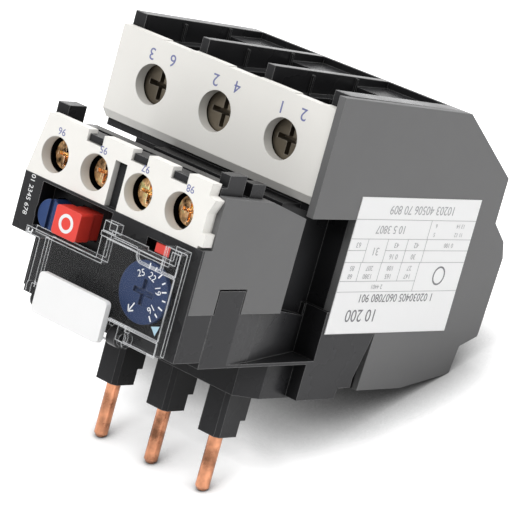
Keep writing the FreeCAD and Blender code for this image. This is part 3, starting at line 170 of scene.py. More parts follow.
FINISHES = (
    Finish("black_housing", Kind.MOULDED, (0.028, 0.028, 0.030), 0.28, worn=0.30, gloss=0.14, recess=0.80),
    # grey_black_cover: a grey-black moulding whose base is also made paler than the black housing, as painted
    # light on the side panels that face the side lamp
    Finish("grey_black_cover", Kind.MOULDED, (0.138, 0.138, 0.139), 0.48, worn=0.12, gloss=0.22, recess=0.24),
    Finish("label_paper", Kind.MOULDED, (0.86, 0.86, 0.86), 0.45, grain=0.001, mottle=0.01, worn=0.0),
    Finish("white_cover", Kind.MOULDED, (0.86, 0.845, 0.805), 0.50, grain=0.003, mottle=0.015, worn=0.04,
           gloss=0.2, recess=0.22),
    Finish("blue_plastic", Kind.MOULDED, (0.026, 0.062, 0.190), 0.36, grain=0.004, worn=0.10, gloss=0.25,
           recess=0.5),
    Finish("red_plastic", Kind.MOULDED, (0.78, 0.052, 0.036), 0.32, grain=0.003, worn=0.05, recess=0.15),
    Finish("grey_plastic", Kind.MOULDED, (0.14, 0.14, 0.145), 0.45, worn=0.06),
    Finish("marking_white", Kind.MOULDED, (0.87, 0.87, 0.87), 0.50, grain=0.001, mottle=0.01, worn=0.0,
           gloss=0.15, recess=0.2),
    Finish("steel_clamps", Kind.METAL, (0.56, 0.55, 0.53), 0.34),
    Finish("steel_screws", Kind.METAL, (0.170, 0.145, 0.110), 0.52, mottle=0.10, worn=0.10),
    Finish("brass_screws", Kind.METAL, (0.80, 0.50, 0.26), 0.13, mottle=0.48, worn=0.45, grain=0.55,
           grain_scale=520.0, patch=520.0),
    Finish("brass_terminals", Kind.METAL, (0.70, 0.52, 0.26), 0.32),
    Finish("spring_steel", Kind.METAL, (0.50, 0.50, 0.52), 0.25, streak=8.0),
    Finish("copper_parts", Kind.METAL, (0.46, 0.205, 0.115), 0.28, mottle=0.30, worn=0.20, streak=10.0,
           grain=0.02, grain_scale=1500.0, patch=260.0),
    Finish("bimetal_strip", Kind.METAL, (0.50, 0.48, 0.43), 0.36, streak=14.0),
    Finish("heater_ribbon", Kind.METAL, (0.30, 0.28, 0.26), 0.45, streak=6.0),
    Finish("clear_plastic", Kind.CLEAR, (0.92, 0.94, 0.96), 0.05, gloss=0.8),
)

EDGE_RADIUS = 0.22 * MM   # rounding that the moulded edges show
PAINTED_SHADE_REACH = 18.0 * MM  # how near another wall has to be for painted shade on a surface


# ---- node networks ----
class Graph:
    """Thin helper round a node tree that keeps the material functions short."""

    def __init__(self, tree: bpy.types.NodeTree, material: bpy.types.Material | None = None) -> None:
        """Wraps a node tree.

        Args:
            tree: Tree that nodes are added to.
            material: Material that owns the tree, if one does.
        """
        self.tree = tree
        self.material = material

    def add(self, kind: str, inputs: dict | None = None, **settings) -> bpy.types.Node:
        """Adds a node.

        Args:
            kind: Type name of the node.
            inputs: Values or sockets by input name or number.
            **settings: Attributes of the node.

        Returns:
            The new node.
        """
        node = self.tree.nodes.new(kind)
        for key, value in settings.items():
            setattr(node, key, value)
        for key, value in (inputs or {}).items():
            if isinstance(value, bpy.types.NodeSocket):
                self.tree.links.new(value, node.inputs[key])
            else:
                node.inputs[key].default_value = value
        return node

    def maths(self, operation: str, a: bpy.types.NodeSocket | float, b: bpy.types.NodeSocket | float = 0.0,
              clamp: bool = False) -> bpy.types.NodeSocket:
        """Adds a Math node.

        Args:
            operation: Name of the operation.
            a: First value or socket.
            b: Second value or socket.
            clamp: Whether the result stays between 0 and 1.

        Returns:
            The output of the node.
        """
        return self.add("ShaderNodeMath", {0: a, 1: b}, operation=operation, use_clamp=clamp).outputs[0]

    def mix(self, share: bpy.types.NodeSocket | float, a: bpy.types.NodeSocket | tuple[float, ...],
            b: bpy.types.NodeSocket | tuple[float, ...]) -> bpy.types.NodeSocket:
        """Adds a colour mix.

        Args:
            share: Share of the second colour.
            a: First colour or socket.
            b: Second colour or socket.

        Returns:
            The output of the node.
        """
        node = self.add("ShaderNodeMix", {0: share, 6: a, 7: b}, data_type="RGBA")
        return node.outputs[2]


def surface_group() -> bpy.types.NodeTree:
    """Shared effect: slow colour variation and fine grain in the space of the part.

    Returns:
        A group with the inputs Patch, Scale and Streak and the outputs Mottle and Grain.
    """
    tree = bpy.data.node_groups.new("surface_variation", "ShaderNodeTree")
    face = tree.interface
    face.new_socket("Patch", in_out="INPUT", socket_type="NodeSocketFloat")
    face.new_socket("Scale", in_out="INPUT", socket_type="NodeSocketFloat")
    face.new_socket("Streak", in_out="INPUT", socket_type="NodeSocketFloat")
    face.new_socket("Mottle", in_out="OUTPUT", socket_type="NodeSocketFloat")
    face.new_socket("Grain", in_out="OUTPUT", socket_type="NodeSocketFloat")
    graph = Graph(tree)
    given = graph.add("NodeGroupInput")
    place = graph.add("ShaderNodeTexCoord").outputs["Object"]
    stretch = graph.add("ShaderNodeCombineXYZ", {"X": given.outputs["Streak"], "Y": given.outputs["Streak"],
                                                 "Z": 1.0})
    drawn = graph.add("ShaderNodeVectorMath", {0: place, 1: stretch.outputs[0]}, operation="MULTIPLY")
    slow = graph.add("ShaderNodeTexNoise", {"Vector": place, "Scale": given.outputs["Patch"], "Detail": 3.0,
                                            "Roughness": 0.55})
    fine = graph.add("ShaderNodeTexNoise", {"Vector": drawn.outputs[0], "Scale": given.outputs["Scale"],
                                            "Detail": 4.0, "Roughness": 0.6})
    centred = graph.maths("SUBTRACT", slow.outputs[0], 0.5)
    graph.add("NodeGroupOutput", {"Mottle": centred, "Grain": fine.outputs[0]})
    return tree


def edge_group() -> bpy.types.NodeTree:
    """Shared effect: rounded edges.

    Returns:
        A group with the input Radius and the outputs Normal, which bends round an
        edge, and Mask, which is 1 on the edge.
    """
    tree = bpy.data.node_groups.new("edge_rounding", "ShaderNodeTree")
    face = tree.interface
    face.new_socket("Radius", in_out="INPUT", socket_type="NodeSocketFloat")
    face.new_socket("Normal", in_out="OUTPUT", socket_type="NodeSocketVector")
    face.new_socket("Mask", in_out="OUTPUT", socket_type="NodeSocketFloat")
    graph = Graph(tree)
    given = graph.add("NodeGroupInput")
    bevel = graph.add("ShaderNodeBevel", {"Radius": given.outputs["Radius"]}, samples=6)
    flat = graph.add("ShaderNodeNewGeometry").outputs["Normal"]
    along = graph.add("ShaderNodeVectorMath", {0: bevel.outputs[0], 1: flat}, operation="DOT_PRODUCT")
    turned = graph.maths("SUBTRACT", 1.0, along.outputs["Value"])
    mask = graph.maths("MULTIPLY", turned, 6.0, clamp=True)
    graph.add("NodeGroupOutput", {"Normal": bevel.outputs[0], "Mask": mask})
    return tree


def recess_group() -> bpy.types.NodeTree:
    """Shared effect: painted shade in corners and hollows.

    Returns:
        A group with the inputs Reach and Power and the output Open, which is 1 on an
        open surface and falls towards 0 in a hollow.
    """
    tree = bpy.data.node_groups.new("recess_shade", "ShaderNodeTree")
    face = tree.interface
    face.new_socket("Reach", in_out="INPUT", socket_type="NodeSocketFloat")
    face.new_socket("Power", in_out="INPUT", socket_type="NodeSocketFloat")
    face.new_socket("Open", in_out="OUTPUT", socket_type="NodeSocketFloat")
    graph = Graph(tree)
    given = graph.add("NodeGroupInput")
    around = graph.add("ShaderNodeAmbientOcclusion", {"Distance": given.outputs["Reach"]}, samples=8)
    graph.add("NodeGroupOutput", {"Open": graph.maths("POWER", around.outputs["AO"], given.outputs["Power"])})
    return tree


class Palette:
    """Builds every finish once and hands materials out by slot name."""

    def __init__(self) -> None:
        """Makes the shared groups, then one material for every finish."""
        self.surface = surface_group()
        self.edge = edge_group()
        self.recess = recess_group()
        makers = {Kind.MOULDED: self.solid, Kind.METAL: self.solid, Kind.CLEAR: self.clear}
        self.materials = {finish.slot: makers[finish.kind](finish) for finish in FINISHES}

    def start(self, name: str) -> tuple[Graph, bpy.types.Node]:
        """Opens a material.

        Args:
            name: Name of the material.

        Returns:
            An empty graph and its output node.
        """
        material = bpy.data.materials.new(name)
        material.use_nodes = True
        material.node_tree.nodes.clear()
        graph = Graph(material.node_tree, material)
        return graph, graph.add("ShaderNodeOutputMaterial")

    def variation(self, graph: Graph, patch: float, scale: float, streak: float = 1.0) -> bpy.types.Node:
        """Places the surface variation group.

        Args:
            graph: Graph of the material.
            patch: Cells per metre of the slow variation.
            scale: Cells per metre of the fine grain.
            streak: Stretch of the fine grain.

        Returns:
            The group node.
        """
        node = graph.add("ShaderNodeGroup", node_tree=self.surface)
        node.inputs["Patch"].default_value = patch
        node.inputs["Scale"].default_value = scale
        node.inputs["Streak"].default_value = streak
        return node

    def solid(self, finish: Finish) -> bpy.types.Material:
        """Opaque plastic, paper or metal with grain, slow variation, painted highlights that make the edges
        paler and, where set, painted shade in hollows.

        Args:
            finish: What the surface looks like.

        Returns:
            The material.
        """
        graph, output = self.start(finish.slot)
        surface = self.variation(graph, finish.patch, finish.grain_scale, finish.streak)
        edge = graph.add("ShaderNodeGroup", node_tree=self.edge)
        edge.inputs["Radius"].default_value = EDGE_RADIUS
        base = Vector(finish.colour)
        # Painted highlight: the edges are mixed towards white along the edge mask, unevenly with the grain.
        highlight_colour = base.lerp(Vector((1.0, 1.0, 1.0)), finish.worn)
        deep = base * (1.0 - 2.0 * finish.mottle)
        light = base * (1.0 + 2.0 * finish.mottle)
        contrast = 3.0 if finish.kind is Kind.METAL else 1.0
        spread = graph.maths("MULTIPLY_ADD", surface.outputs["Mottle"], contrast, clamp=True)
        spread.node.inputs[2].default_value = 0.5
        varied = graph.mix(spread, (*deep, 1.0), (*light, 1.0))
        uneven = graph.maths("ADD", surface.outputs["Grain"], 0.35)
        highlight_share = graph.maths("MULTIPLY", edge.outputs["Mask"], uneven, clamp=True)
        colour = graph.mix(highlight_share, varied, (*highlight_colour, 1.0))
        # Painted shade: the colour is darkened in corners and hollows.
        if finish.recess > 0.0:
            colour = self.shaded(graph, colour, finish.recess)
        uneven = graph.maths("MULTIPLY", surface.outputs["Mottle"], 0.25)
        roughness = graph.maths("ADD", uneven, finish.roughness)
        bump = graph.add("ShaderNodeBump", {"Strength": 0.6, "Distance": finish.grain * MM,
                                            "Height": surface.outputs["Grain"],
                                            "Normal": edge.outputs["Normal"]})
        shader = graph.add("ShaderNodeBsdfPrincipled", {"Base Color": colour, "Roughness": roughness,
                                                        "Normal": bump.outputs[0]})
        shader.inputs["Metallic"].default_value = 1.0 if finish.kind is Kind.METAL else 0.0
        shader.inputs["Specular IOR Level"].default_value = finish.gloss
        graph.tree.links.new(shader.outputs[0], output.inputs["Surface"])
        return graph.material

    def shaded(self, graph: Graph, colour: bpy.types.NodeSocket, depth: float) -> bpy.types.NodeSocket:
        """Paints shade into a colour in corners and hollows.

        Args:
            graph: Graph of the material.
            colour: Colour of the open surface.
            depth: Share of the colour that is lost deep inside.

        Returns:
            The shaded colour.
        """
        recess = graph.add("ShaderNodeGroup", node_tree=self.recess)
        recess.inputs["Reach"].default_value = PAINTED_SHADE_REACH
        recess.inputs["Power"].default_value = 2.0
        left = graph.maths("MULTIPLY_ADD", recess.outputs["Open"], depth)
        left.node.inputs[2].default_value = 1.0 - depth
        return graph.add("ShaderNodeMix", {0: 1.0, 6: colour, 7: left}, data_type="RGBA",
                         blend_type="MULTIPLY").outputs[2]

    def clear(self, finish: Finish) -> bpy.types.Material:
        """Clear moulded plastic with painted highlights on its rims and a painted sheen at grazing angles.

        Args:
            finish: What the surface looks like.

        Returns:
            The material.
        """
        graph, output = self.start(finish.slot)
        edge = graph.add("ShaderNodeGroup", node_tree=self.edge)
        edge.inputs["Radius"].default_value = 1.7 * EDGE_RADIUS
        surface = self.variation(graph, 120.0, 500.0)
        bump = graph.add("ShaderNodeBump", {"Strength": 0.1, "Distance": 0.01 * MM,
                                            "Height": surface.outputs["Grain"],
                                            "Normal": edge.outputs["Normal"]})
        # Slight even haze, plus a painted sheen: more white cover at grazing angles.
        facing = graph.add("ShaderNodeLayerWeight", {"Blend": 0.25}).outputs["Facing"]
        haze_and_sheen = graph.maths("MULTIPLY_ADD", graph.maths("POWER", facing, 3.0), 0.20)
        haze_and_sheen.node.inputs[2].default_value = 0.008
        # Painted highlights on the rims, uneven along them, and stronger on faces that look to -Y than on the
        # side walls.
        highlight_lumps = graph.maths("MULTIPLY_ADD", surface.outputs["Mottle"], 2.4)
        highlight_lumps.node.inputs[2].default_value = 1.0
        out = graph.add("ShaderNodeNewGeometry").outputs["Normal"]
        front = graph.maths("LESS_THAN", graph.add("ShaderNodeSeparateXYZ", {0: out}).outputs["Y"], -0.5)
        side = graph.maths("MULTIPLY_ADD", front, 0.72)
        side.node.inputs[2].default_value = 0.28
        rim = graph.maths("MULTIPLY", graph.maths("MULTIPLY", edge.outputs["Mask"], side), highlight_lumps, clamp=True)
        cover = graph.maths("MAXIMUM", haze_and_sheen, rim, clamp=True)
        shader = graph.add("ShaderNodeBsdfPrincipled", {"Base Color": (*finish.colour, 1.0),
                                                        "Roughness": finish.roughness, "Alpha": cover,
                                                        "Normal": bump.outputs[0]})
        shader.inputs["Specular IOR Level"].default_value = finish.gloss
        graph.tree.links.new(shader.outputs[0], output.inputs["Surface"])
        return graph.material

    def ink(self, name: str, colour: tuple[float, float, float]) -> bpy.types.Material:
        """Printing ink whose cover is a little uneven.

        Args:
            name: Name of the material.
            colour: Linear colour of the ink.

        Returns:
            The material.
        """
        graph, output = self.start(name)
        surface = self.variation(graph, 90.0, 5200.0)
        thin = Vector(colour).lerp(Vector((0.8, 0.8, 0.8)), 0.12)
        shade = graph.mix(surface.outputs["Grain"], (*colour, 1.0), (*thin, 1.0))
        shader = graph.add("ShaderNodeBsdfPrincipled", {"Base Color": shade, "Roughness": 0.5})
        graph.tree.links.new(shader.outputs[0], output.inputs["Surface"])
        return graph.material


# ---- flat work: printing and marks ----
@dataclass(frozen=True)
class Sheet:
    """A plane to print on, with its own right and up directions.

    Attributes:
        origin: Point of the plane that flat coordinates are counted from, in metres.
        right: Direction of the first flat coordinate.
        up: Direction of the second flat coordinate.
    """

    origin: Vector
    right: Vector
    up: Vector

    @property
    def normal(self) -> Vector:
        """Direction that the print faces."""
        return self.right.cross(self.up)

    def at(self, u: float, v: float, lift: float = 0.0) -> Vector:
        """Turns flat coordinates into a point of the part.

        Args:
            u: First flat coordinate in millimetres.
            v: Second flat coordinate in millimetres.
            lift: Height over the plane in millimetres.

        Returns:
            The point in metres.
        """
        return self.origin + (self.right * u + self.up * v + self.normal * lift) * MM


INK_LIFT = 0.012   # millimetres that the ink starts over and reaches under its plane
INK_DEPTH = 0.02   # thickness of the ink in millimetres


def plate_mesh(name: str, sheet: Sheet, outlines: list[list[tuple[float, float]]]) -> bpy.types.Object:
    """Flat printed shapes with a little thickness.

    Args:
        name: Name of the new object.
        sheet: Plane that the shapes lie on.
        outlines: Closed outlines in flat coordinates, in millimetres.

    Returns:
        One object that holds every shape.
    """
    mesh = bmesh.new()
    for outline in outlines:
        top = [mesh.verts.new(sheet.at(u, v, INK_LIFT + INK_DEPTH)) for u, v in outline]
        low = [mesh.verts.new(sheet.at(u, v, -INK_LIFT)) for u, v in outline]
        mesh.faces.new(top)
        mesh.faces.new(low[::-1])
        for k in range(len(outline)):
            nxt = (k + 1) % len(outline)
            mesh.faces.new((low[k], low[nxt], top[nxt], top[k]))
    bmesh.ops.recalc_face_normals(mesh, faces=mesh.faces)
    data = bpy.data.meshes.new(name)
    mesh.to_mesh(data)
    mesh.free()
    item = bpy.data.objects.new(name, data)
    bpy.context.collection.objects.link(item)
    return item


def bar(u0: float, v0: float, u1: float, v1: float, width: float) -> list[tuple[float, float]]:
    """Outline of a straight stroke between two flat points, all in millimetres.

    Args:
        u0: First coordinate of the start.
        v0: Second coordinate of the start.
        u1: First coordinate of the end.
        v1: Second coordinate of the end.
        width: Width of the stroke.

    Returns:
        The four corners.
    """
    run = Vector((u1 - u0, v1 - v0)).normalized()
    side = Vector((-run.y, run.x)) * (width / 2)
    return [(u0 - side.x, v0 - side.y), (u1 - side.x, v1 - side.y),
            (u1 + side.x, v1 + side.y), (u0 + side.x, v0 + side.y)]


def ring(u: float, v: float, radius: float, width: float, sides: int = 40) -> list[list[tuple[float, float]]]:
    """Outlines of a flat ring, as short strokes that meet, all in millimetres.

    Args:
        u: First coordinate of the middle.
        v: Second coordinate of the middle.
        radius: Radius of the middle line.
        width: Width of the line.
        sides: Number of strokes.

    Returns:
        One outline for each stroke.
    """
    strokes = []
    for k in range(sides):
        a, b = (2 * math.pi * n / sides for n in (k, k + 1))
        strokes.append([(u + r * math.cos(t), v + r * math.sin(t))
                        for r, t in ((radius - width / 2, a), (radius + width / 2, a),
                                     (radius + width / 2, b), (radius - width / 2, b))])
    return strokes


def number(name: str, text: str, sheet: Sheet, u: float, v: float, size: float, turn: float = 0.0,
           lift: float = 0.0) -> bpy.types.Object:
    """A plain number, centred on a flat point.

    Args:
        name: Name of the new object.
        text: Digits.
        sheet: Plane that it is printed on.
        u: First flat coordinate in millimetres.
        v: Second flat coordinate in millimetres.
        size: Height of the type in millimetres.
        turn: Turn on the plane in radians.
        lift: Height of its middle over the plane in millimetres.

    Returns:
        A mesh object.
    """
    curve = bpy.data.curves.new(name, "FONT")
    curve.body = text
    curve.size = size * MM
    curve.align_x = "CENTER"
    curve.align_y = "CENTER"
    curve.extrude = 0.5 * INK_DEPTH * MM
    curve.resolution_u = 3
    draft = bpy.data.objects.new(name + "_draft", curve)
    bpy.context.collection.objects.link(draft)
    mesh = bpy.data.meshes.new_from_object(draft)
    bpy.data.objects.remove(draft)
    basis = Matrix((sheet.right, sheet.up, sheet.normal)).transposed().to_4x4()
    place = Matrix.Translation(sheet.at(u, v, lift + INK_LIFT + 0.5 * INK_DEPTH))
    mesh.transform(place @ basis @ Matrix.Rotation(turn, 4, "Z"))
    item = bpy.data.objects.new(name, mesh)
    bpy.context.collection.objects.link(item)
    return item


def join(name: str, items: list[bpy.types.Object]) -> bpy.types.Object:
    """Makes one mesh object from several, which are removed.

    Args:
        name: Name of the new object.
        items: Objects to join.

    Returns:
        The new object.
    """
    mesh = bmesh.new()
    for item in items:
        mesh.from_mesh(item.data)
        bpy.data.objects.remove(item)
    data = bpy.data.meshes.new(name)
    mesh.to_mesh(data)
    mesh.free()
    result = bpy.data.objects.new(name, data)
    bpy.context.collection.objects.link(result)
    return result


FRONT_RIGHT = Vector((1.0, 0.0, 0.0))
SIDE_RIGHT = Vector((0.0, -1.0, 0.0))
TOP = Vector((0.0, 0.0, 1.0))
PIECE_GAP = 1.5 * MM  # pieces of one node stand at least this far apart


def middle(node: str) -> Vector:
    """Middle of a CAD node's box."""
    low, high = (Vector(corner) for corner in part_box(node))
    return (low + high) / 2


def front_sheet(node: str, x: float | None = None, z: float | None = None) -> Sheet:
    """Plane on the front of a CAD node.

    Args:
        node: Name of the node.
        x: Place of the origin across, in metres, or None for the middle.
        z: Place of the origin in height, in metres, or None for the middle.

    Returns:
        The plane.
    """
    low, _ = (Vector(corner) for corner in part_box(node))
    centre = middle(node)
    origin = Vector((centre.x if x is None else x, low.y, centre.z if z is None else z))
    return Sheet(origin, FRONT_RIGHT, TOP)


def front_face() -> float:
    """Plane of the front of the front block, in metres."""
    return Vector(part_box("front_housing")[0]).y


def spots(node: str) -> list[float]:
    """Finds the separate pieces of a CAD node.

    Args:
        node: Name of the node.

    Returns:
        The middles of the pieces, from -X to +X, in metres.
    """
    item = bpy.data.objects[node]
    xs = sorted((item.matrix_world @ vertex.co).x for vertex in item.data.vertices)
    starts = [0] + [k for k in range(1, len(xs)) if xs[k] - xs[k - 1] > PIECE_GAP] + [len(xs)]
    return [(xs[a] + xs[b - 1]) / 2 for a, b in zip(starts, starts[1:])]


# shares of the label's length and height; the first side is the one by the rear cover
LABEL_RULES = ((0.0, 1.0, 0.16), (0.0, 1.0, 0.302), (0.0, 0.70, 0.386), (0.86, 1.0, 0.386), (0.0, 1.0, 0.474),
               (0.385, 1.0, 0.612), (0.0, 1.0, 0.69))
LABEL_COLUMNS = ((0.38, 0.16, 0.302), (0.377, 0.302, 0.474), (0.535, 0.302, 0.474), (0.70, 0.302, 0.474),
                 (0.86, 0.302, 0.474), (0.385, 0.474, 0.69), (0.5375, 0.474, 0.612), (0.704, 0.474, 0.612),
                 (0.87, 0.474, 0.612))
LABEL_FINE = (("10203 40506 70 809", 0.48, 0.085, 2.5), ("10 5 3807", 0.70, 0.23, 2.3),
              ("11 12", 0.12, 0.265, 1.2), ("13 14", 0.12, 0.20, 1.2), ("5", 0.33, 0.265, 1.2),
              ("6", 0.33, 0.20, 1.2), ("0 100", 0.18, 0.345, 1.3), ("42", 0.455, 0.345, 1.5),
              ("43", 0.62, 0.345, 1.5), ("63", 0.93, 0.345, 1.5), ("30", 0.455, 0.43, 1.5),
              ("0 16", 0.62, 0.43, 1.5), ("31", 0.78, 0.39, 2.2), ("147", 0.46, 0.575, 1.4),
              ("27", 0.46, 0.515, 1.4), ("165", 0.62, 0.575, 1.4), ("108", 0.62, 0.515, 1.4),
              ("1380", 0.79, 0.575, 1.4), ("207", 0.79, 0.515, 1.4), ("68", 0.93, 0.575, 1.4),
              ("85", 0.93, 0.515, 1.4), ("2 4401", 0.69, 0.652, 1.3))
LABEL_BOLD = (("1 02030405 0607080 901", 0.50, 0.735, 2.3), ("10 200", 0.75, 0.862, 3.5))


@dataclass
class Printing:
    """Everything printed on the relay, with its sizes in millimetres.

    Attributes:
        palette: Finishes and inks.
        power_type: Height of the numbers by the power terminals.
        aux_type: Height of the numbers by the auxiliary terminals.
        edge_type: Height of the numbers up the edge of the front.
        dial_type: Height of the numbers on the dial.
        dial_inset: How far the numbers on the dial stand in from its rim.
        dial_first: Angle of the first tick in degrees.
        dial_step: Angle between ticks in degrees.
        tick_width: Width of a tick.
        arrow_angle: Angle of the arrow in degrees.
        arrow_width: Width of the arrow's strokes.
        rule_width: Width of the rules on the label.
    """

    palette: Palette
    power_type: float = 3.3
    aux_type: float = 1.9
    edge_type: float = 1.5
    dial_type: float = 1.8
    dial_inset: float = 2.3
    dial_first: float = 180.0
    dial_step: float = 17.75
    tick_width: float = 0.27
    arrow_angle: float = 27.0
    arrow_width: float = 0.26
    rule_width: float = 0.10

    def place(self, item: bpy.types.Object, ink: bpy.types.Material, body: Body) -> None:
        """Gives a piece its ink and lets it ride on a body.

        Args:
            item: The printed piece.
            ink: Its material.
            body: Body that carries it.
        """
        item.data.materials.append(ink)
        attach(item, body.value)
        LOG.info("mark %s on %s", item.name, body.value)

    def build(self) -> None:
        """Makes every mark."""
        self.white = self.palette.ink("white_ink", (0.82, 0.83, 0.84))
        self.pale_blue = self.palette.ink("pale_blue_ink", (0.36, 0.55, 0.66))
        self.violet = self.palette.ink("blue_grey_ink", (0.13, 0.15, 0.36))
        self.grey = self.palette.ink("grey_ink", (0.36, 0.36, 0.37))
        self.dark = self.palette.ink("dark_grey_ink", (0.12, 0.12, 0.13))
        self.stop_ring()
        self.dial_scale()
        self.dial_pointer()
        self.terminal_numbers()
        self.front_marks()
        self.label()

    def stop_ring(self) -> None:
        """White ring on the stop button."""
        sheet = front_sheet("stop_button")
        self.place(plate_mesh("stop_ring", sheet, ring(0.0, 0.1, 1.45, 0.62)), self.white, Body.STOP)

    def dial_scale(self) -> None:
        """Ticks, plain numbers and an arrow on the dial."""
        sheet = front_sheet("setting_dial")
        radius = (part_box("setting_dial")[1][0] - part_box("setting_dial")[0][0]) / 2 / MM
        strokes = []
        for k in range(9):
            turn = math.radians(self.dial_first + self.dial_step * k)
            away = (math.sin(turn), math.cos(turn))
            inner, outer = radius - (1.35 if k % 2 == 0 else 1.05), radius - 0.25
            strokes.append(bar(inner * away[0], inner * away[1], outer * away[0], outer * away[1],
                               self.tick_width))
        self.place(plate_mesh("dial_ticks", sheet, strokes), self.white, Body.DIAL)
        digits = []
        for k, (text, angle) in enumerate((("25", 154.0), ("22", 200.0), ("19", 246.0), ("16", 308.0))):
            turn = math.radians(angle)
            reach = radius - self.dial_inset
            digits.append(number(f"dial_number_{k}", text, sheet, reach * math.sin(turn),
                                 reach * math.cos(turn), self.dial_type, turn=-turn))
        self.place(join("dial_numbers", digits), self.white, Body.DIAL)
        turn = math.radians(self.arrow_angle)
        tip = ((radius - 0.9) * math.sin(turn), (radius - 0.9) * math.cos(turn))
        foot = ((radius - 3.0) * math.sin(turn), (radius - 3.0) * math.cos(turn))
        arrow = [bar(*foot, *tip, self.arrow_width),
                 bar(tip[0] - 1.1, tip[1] - 0.5, *tip, self.arrow_width),
                 bar(tip[0] + 0.3, tip[1] - 1.2, *tip, self.arrow_width)]
        self.place(plate_mesh("dial_arrow", sheet, arrow), self.white, Body.DIAL)

    def dial_pointer(self) -> None:
        """Pale triangle beside the dial."""
        dial = middle("setting_dial")
        face = front_face()
        sheet = Sheet(Vector((dial.x, face, dial.z)), FRONT_RIGHT, TOP)
        self.place(plate_mesh("dial_pointer", sheet, [[(-7.41, 3.64), (-5.55, 4.3), (-6.83, 5.58)]]),
                   self.pale_blue, Body.RELAY)

    def terminal_numbers(self) -> None:
        """Plain numbers beside the terminals."""
        power = front_sheet("power_terminal_cover", z=middle("power_screws").z)
        marks = []
        for k, x in enumerate(spots("power_screws")):
            u = (x - power.origin.x) / MM
            marks.append(number(f"power_number_{k}", str(2 * k + 2), power, u - 3.73, -5.9,
                                self.power_type))
            marks.append(number(f"pole_number_{k}", str(k + 1), power, u + 1.6, -5.7,
                                self.power_type))
        self.place(join("power_numbers", marks), self.violet, Body.RELAY)
        aux = front_sheet("aux_terminal_cover", z=middle("aux_screws").z)
        marks = []
        given = zip(spots("aux_screws"), (98, 97, 95, 96), (-1.25, -0.4, -0.9, -0.3))
        for k, (x, mark, shift) in enumerate(given):
            u = (x - aux.origin.x) / MM
            marks.append(number(f"aux_number_{k}", str(mark), aux, u + shift, -4.5, self.aux_type))
        self.place(join("aux_numbers", marks), self.violet, Body.RELAY)

    def front_marks(self) -> None:
        """Plain numbers up the right edge of the front and two strokes by the reset knob."""
        stop = middle("stop_button")
        sheet = Sheet(Vector((stop.x, front_face(), stop.z)), FRONT_RIGHT, TOP)
        strip = [number("edge_numbers", "01 2345 678", sheet, 9.6, -2.2, self.edge_type,
                        turn=math.pi / 2)]
        self.place(join("edge_marks", strip), self.white, Body.RELAY)
        strokes = [bar(6.6, 3.4, 7.0, 4.9, 0.3), bar(7.6, 3.4, 7.9, 4.9, 0.3), bar(6.8, 4.1, 7.8, 4.1, 0.25)]
        self.place(plate_mesh("reset_marks", sheet, strokes), self.white, Body.RELAY)

    def label(self) -> None:
        """Ruled table with plain numbers on the rating label."""
        low, high = (Vector(c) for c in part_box("rating_label"))
        sheet = Sheet(Vector((low.x, high.y, low.z)), SIDE_RIGHT, TOP)
        width, height = (high.y - low.y) / MM, (high.z - low.z) / MM
        lines = [bar(width * a, height * c, width * b, height * c, self.rule_width)
                 for a, b, c in LABEL_RULES]
        lines += [bar(width * a, height * b, width * a, height * c, self.rule_width)
                  for a, b, c in LABEL_COLUMNS]
        self.place(plate_mesh("label_rules", sheet, lines), self.grey, Body.RELAY)
        for name, ink, rows in (("label_fine", self.grey, LABEL_FINE), ("label_bold", self.dark, LABEL_BOLD)):
            texts = [number(f"{name}_{k}", text, sheet, width * u, height * v, size)
                     for k, (text, u, v, size) in enumerate(rows)]
            self.place(join(name, texts), ink, Body.RELAY)
        self.place(plate_mesh("label_ring", sheet, ring(width * 0.19, height * 0.575, 1.75, 0.34)), self.dark,
                   Body.RELAY)


# ---- springs ----
@dataclass(frozen=True)
class ReturnSpring:
    """A coil that takes the place of the rigid coil of its CAD node.

    Attributes:
        node: CAD node of the coil.
        joint: Joint that presses it; not used.
    """

    node: str
    joint: str

    def build(self, frame: dict, finish: bpy.types.Material) -> None:
        """Puts a copy of the coil, in the given finish, in the place of the rigid one.

        Args:
            frame: What the frame loader returned.
            finish: Material of the wire.
        """
        coil = bpy.data.objects.new(f"{self.node}_coil", frame["nodes"][self.node].data.copy())
        bpy.context.collection.objects.link(coil)
        coil.data.materials.clear()
        coil.data.materials.append(finish)
        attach(coil, Body.RELAY.value)
        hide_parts(self.node)
        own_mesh(coil)


SPRINGS = (ReturnSpring("stop_spring", "stop_press"), ReturnSpring("reset_spring", "reset_press"))


# ---- studio ----
@dataclass(frozen=True)
class Lamp:
    """A soft area light.

    Attributes:
        name: Name of the light.
        right: Distance from the relay's middle to the right of the image, in metres.
        up: Distance towards the top of the image, in metres.
        near: Distance towards the camera, in metres.
        size: Edge of the square panel, in metres.
        watts: Power.
    """

    name: str
    right: float
    up: float
    near: float
    size: float
    watts: float


LAMPS = (
    Lamp("key", -0.50, 0.60, 0.90, 0.50, 8.3),
    Lamp("side", 0.95, 0.60, 0.50, 0.45, 6.4),
    Lamp("front", 0.05, 0.10, 1.20, 0.70, 1.6),
    Lamp("top", 0.25, 1.10, 0.10, 0.40, 2.6),
)
WORLD_LIGHT = 0.38
FLOOR_REACH = 16.0 * MM   # how far from the relay its painted shade reaches on the floor
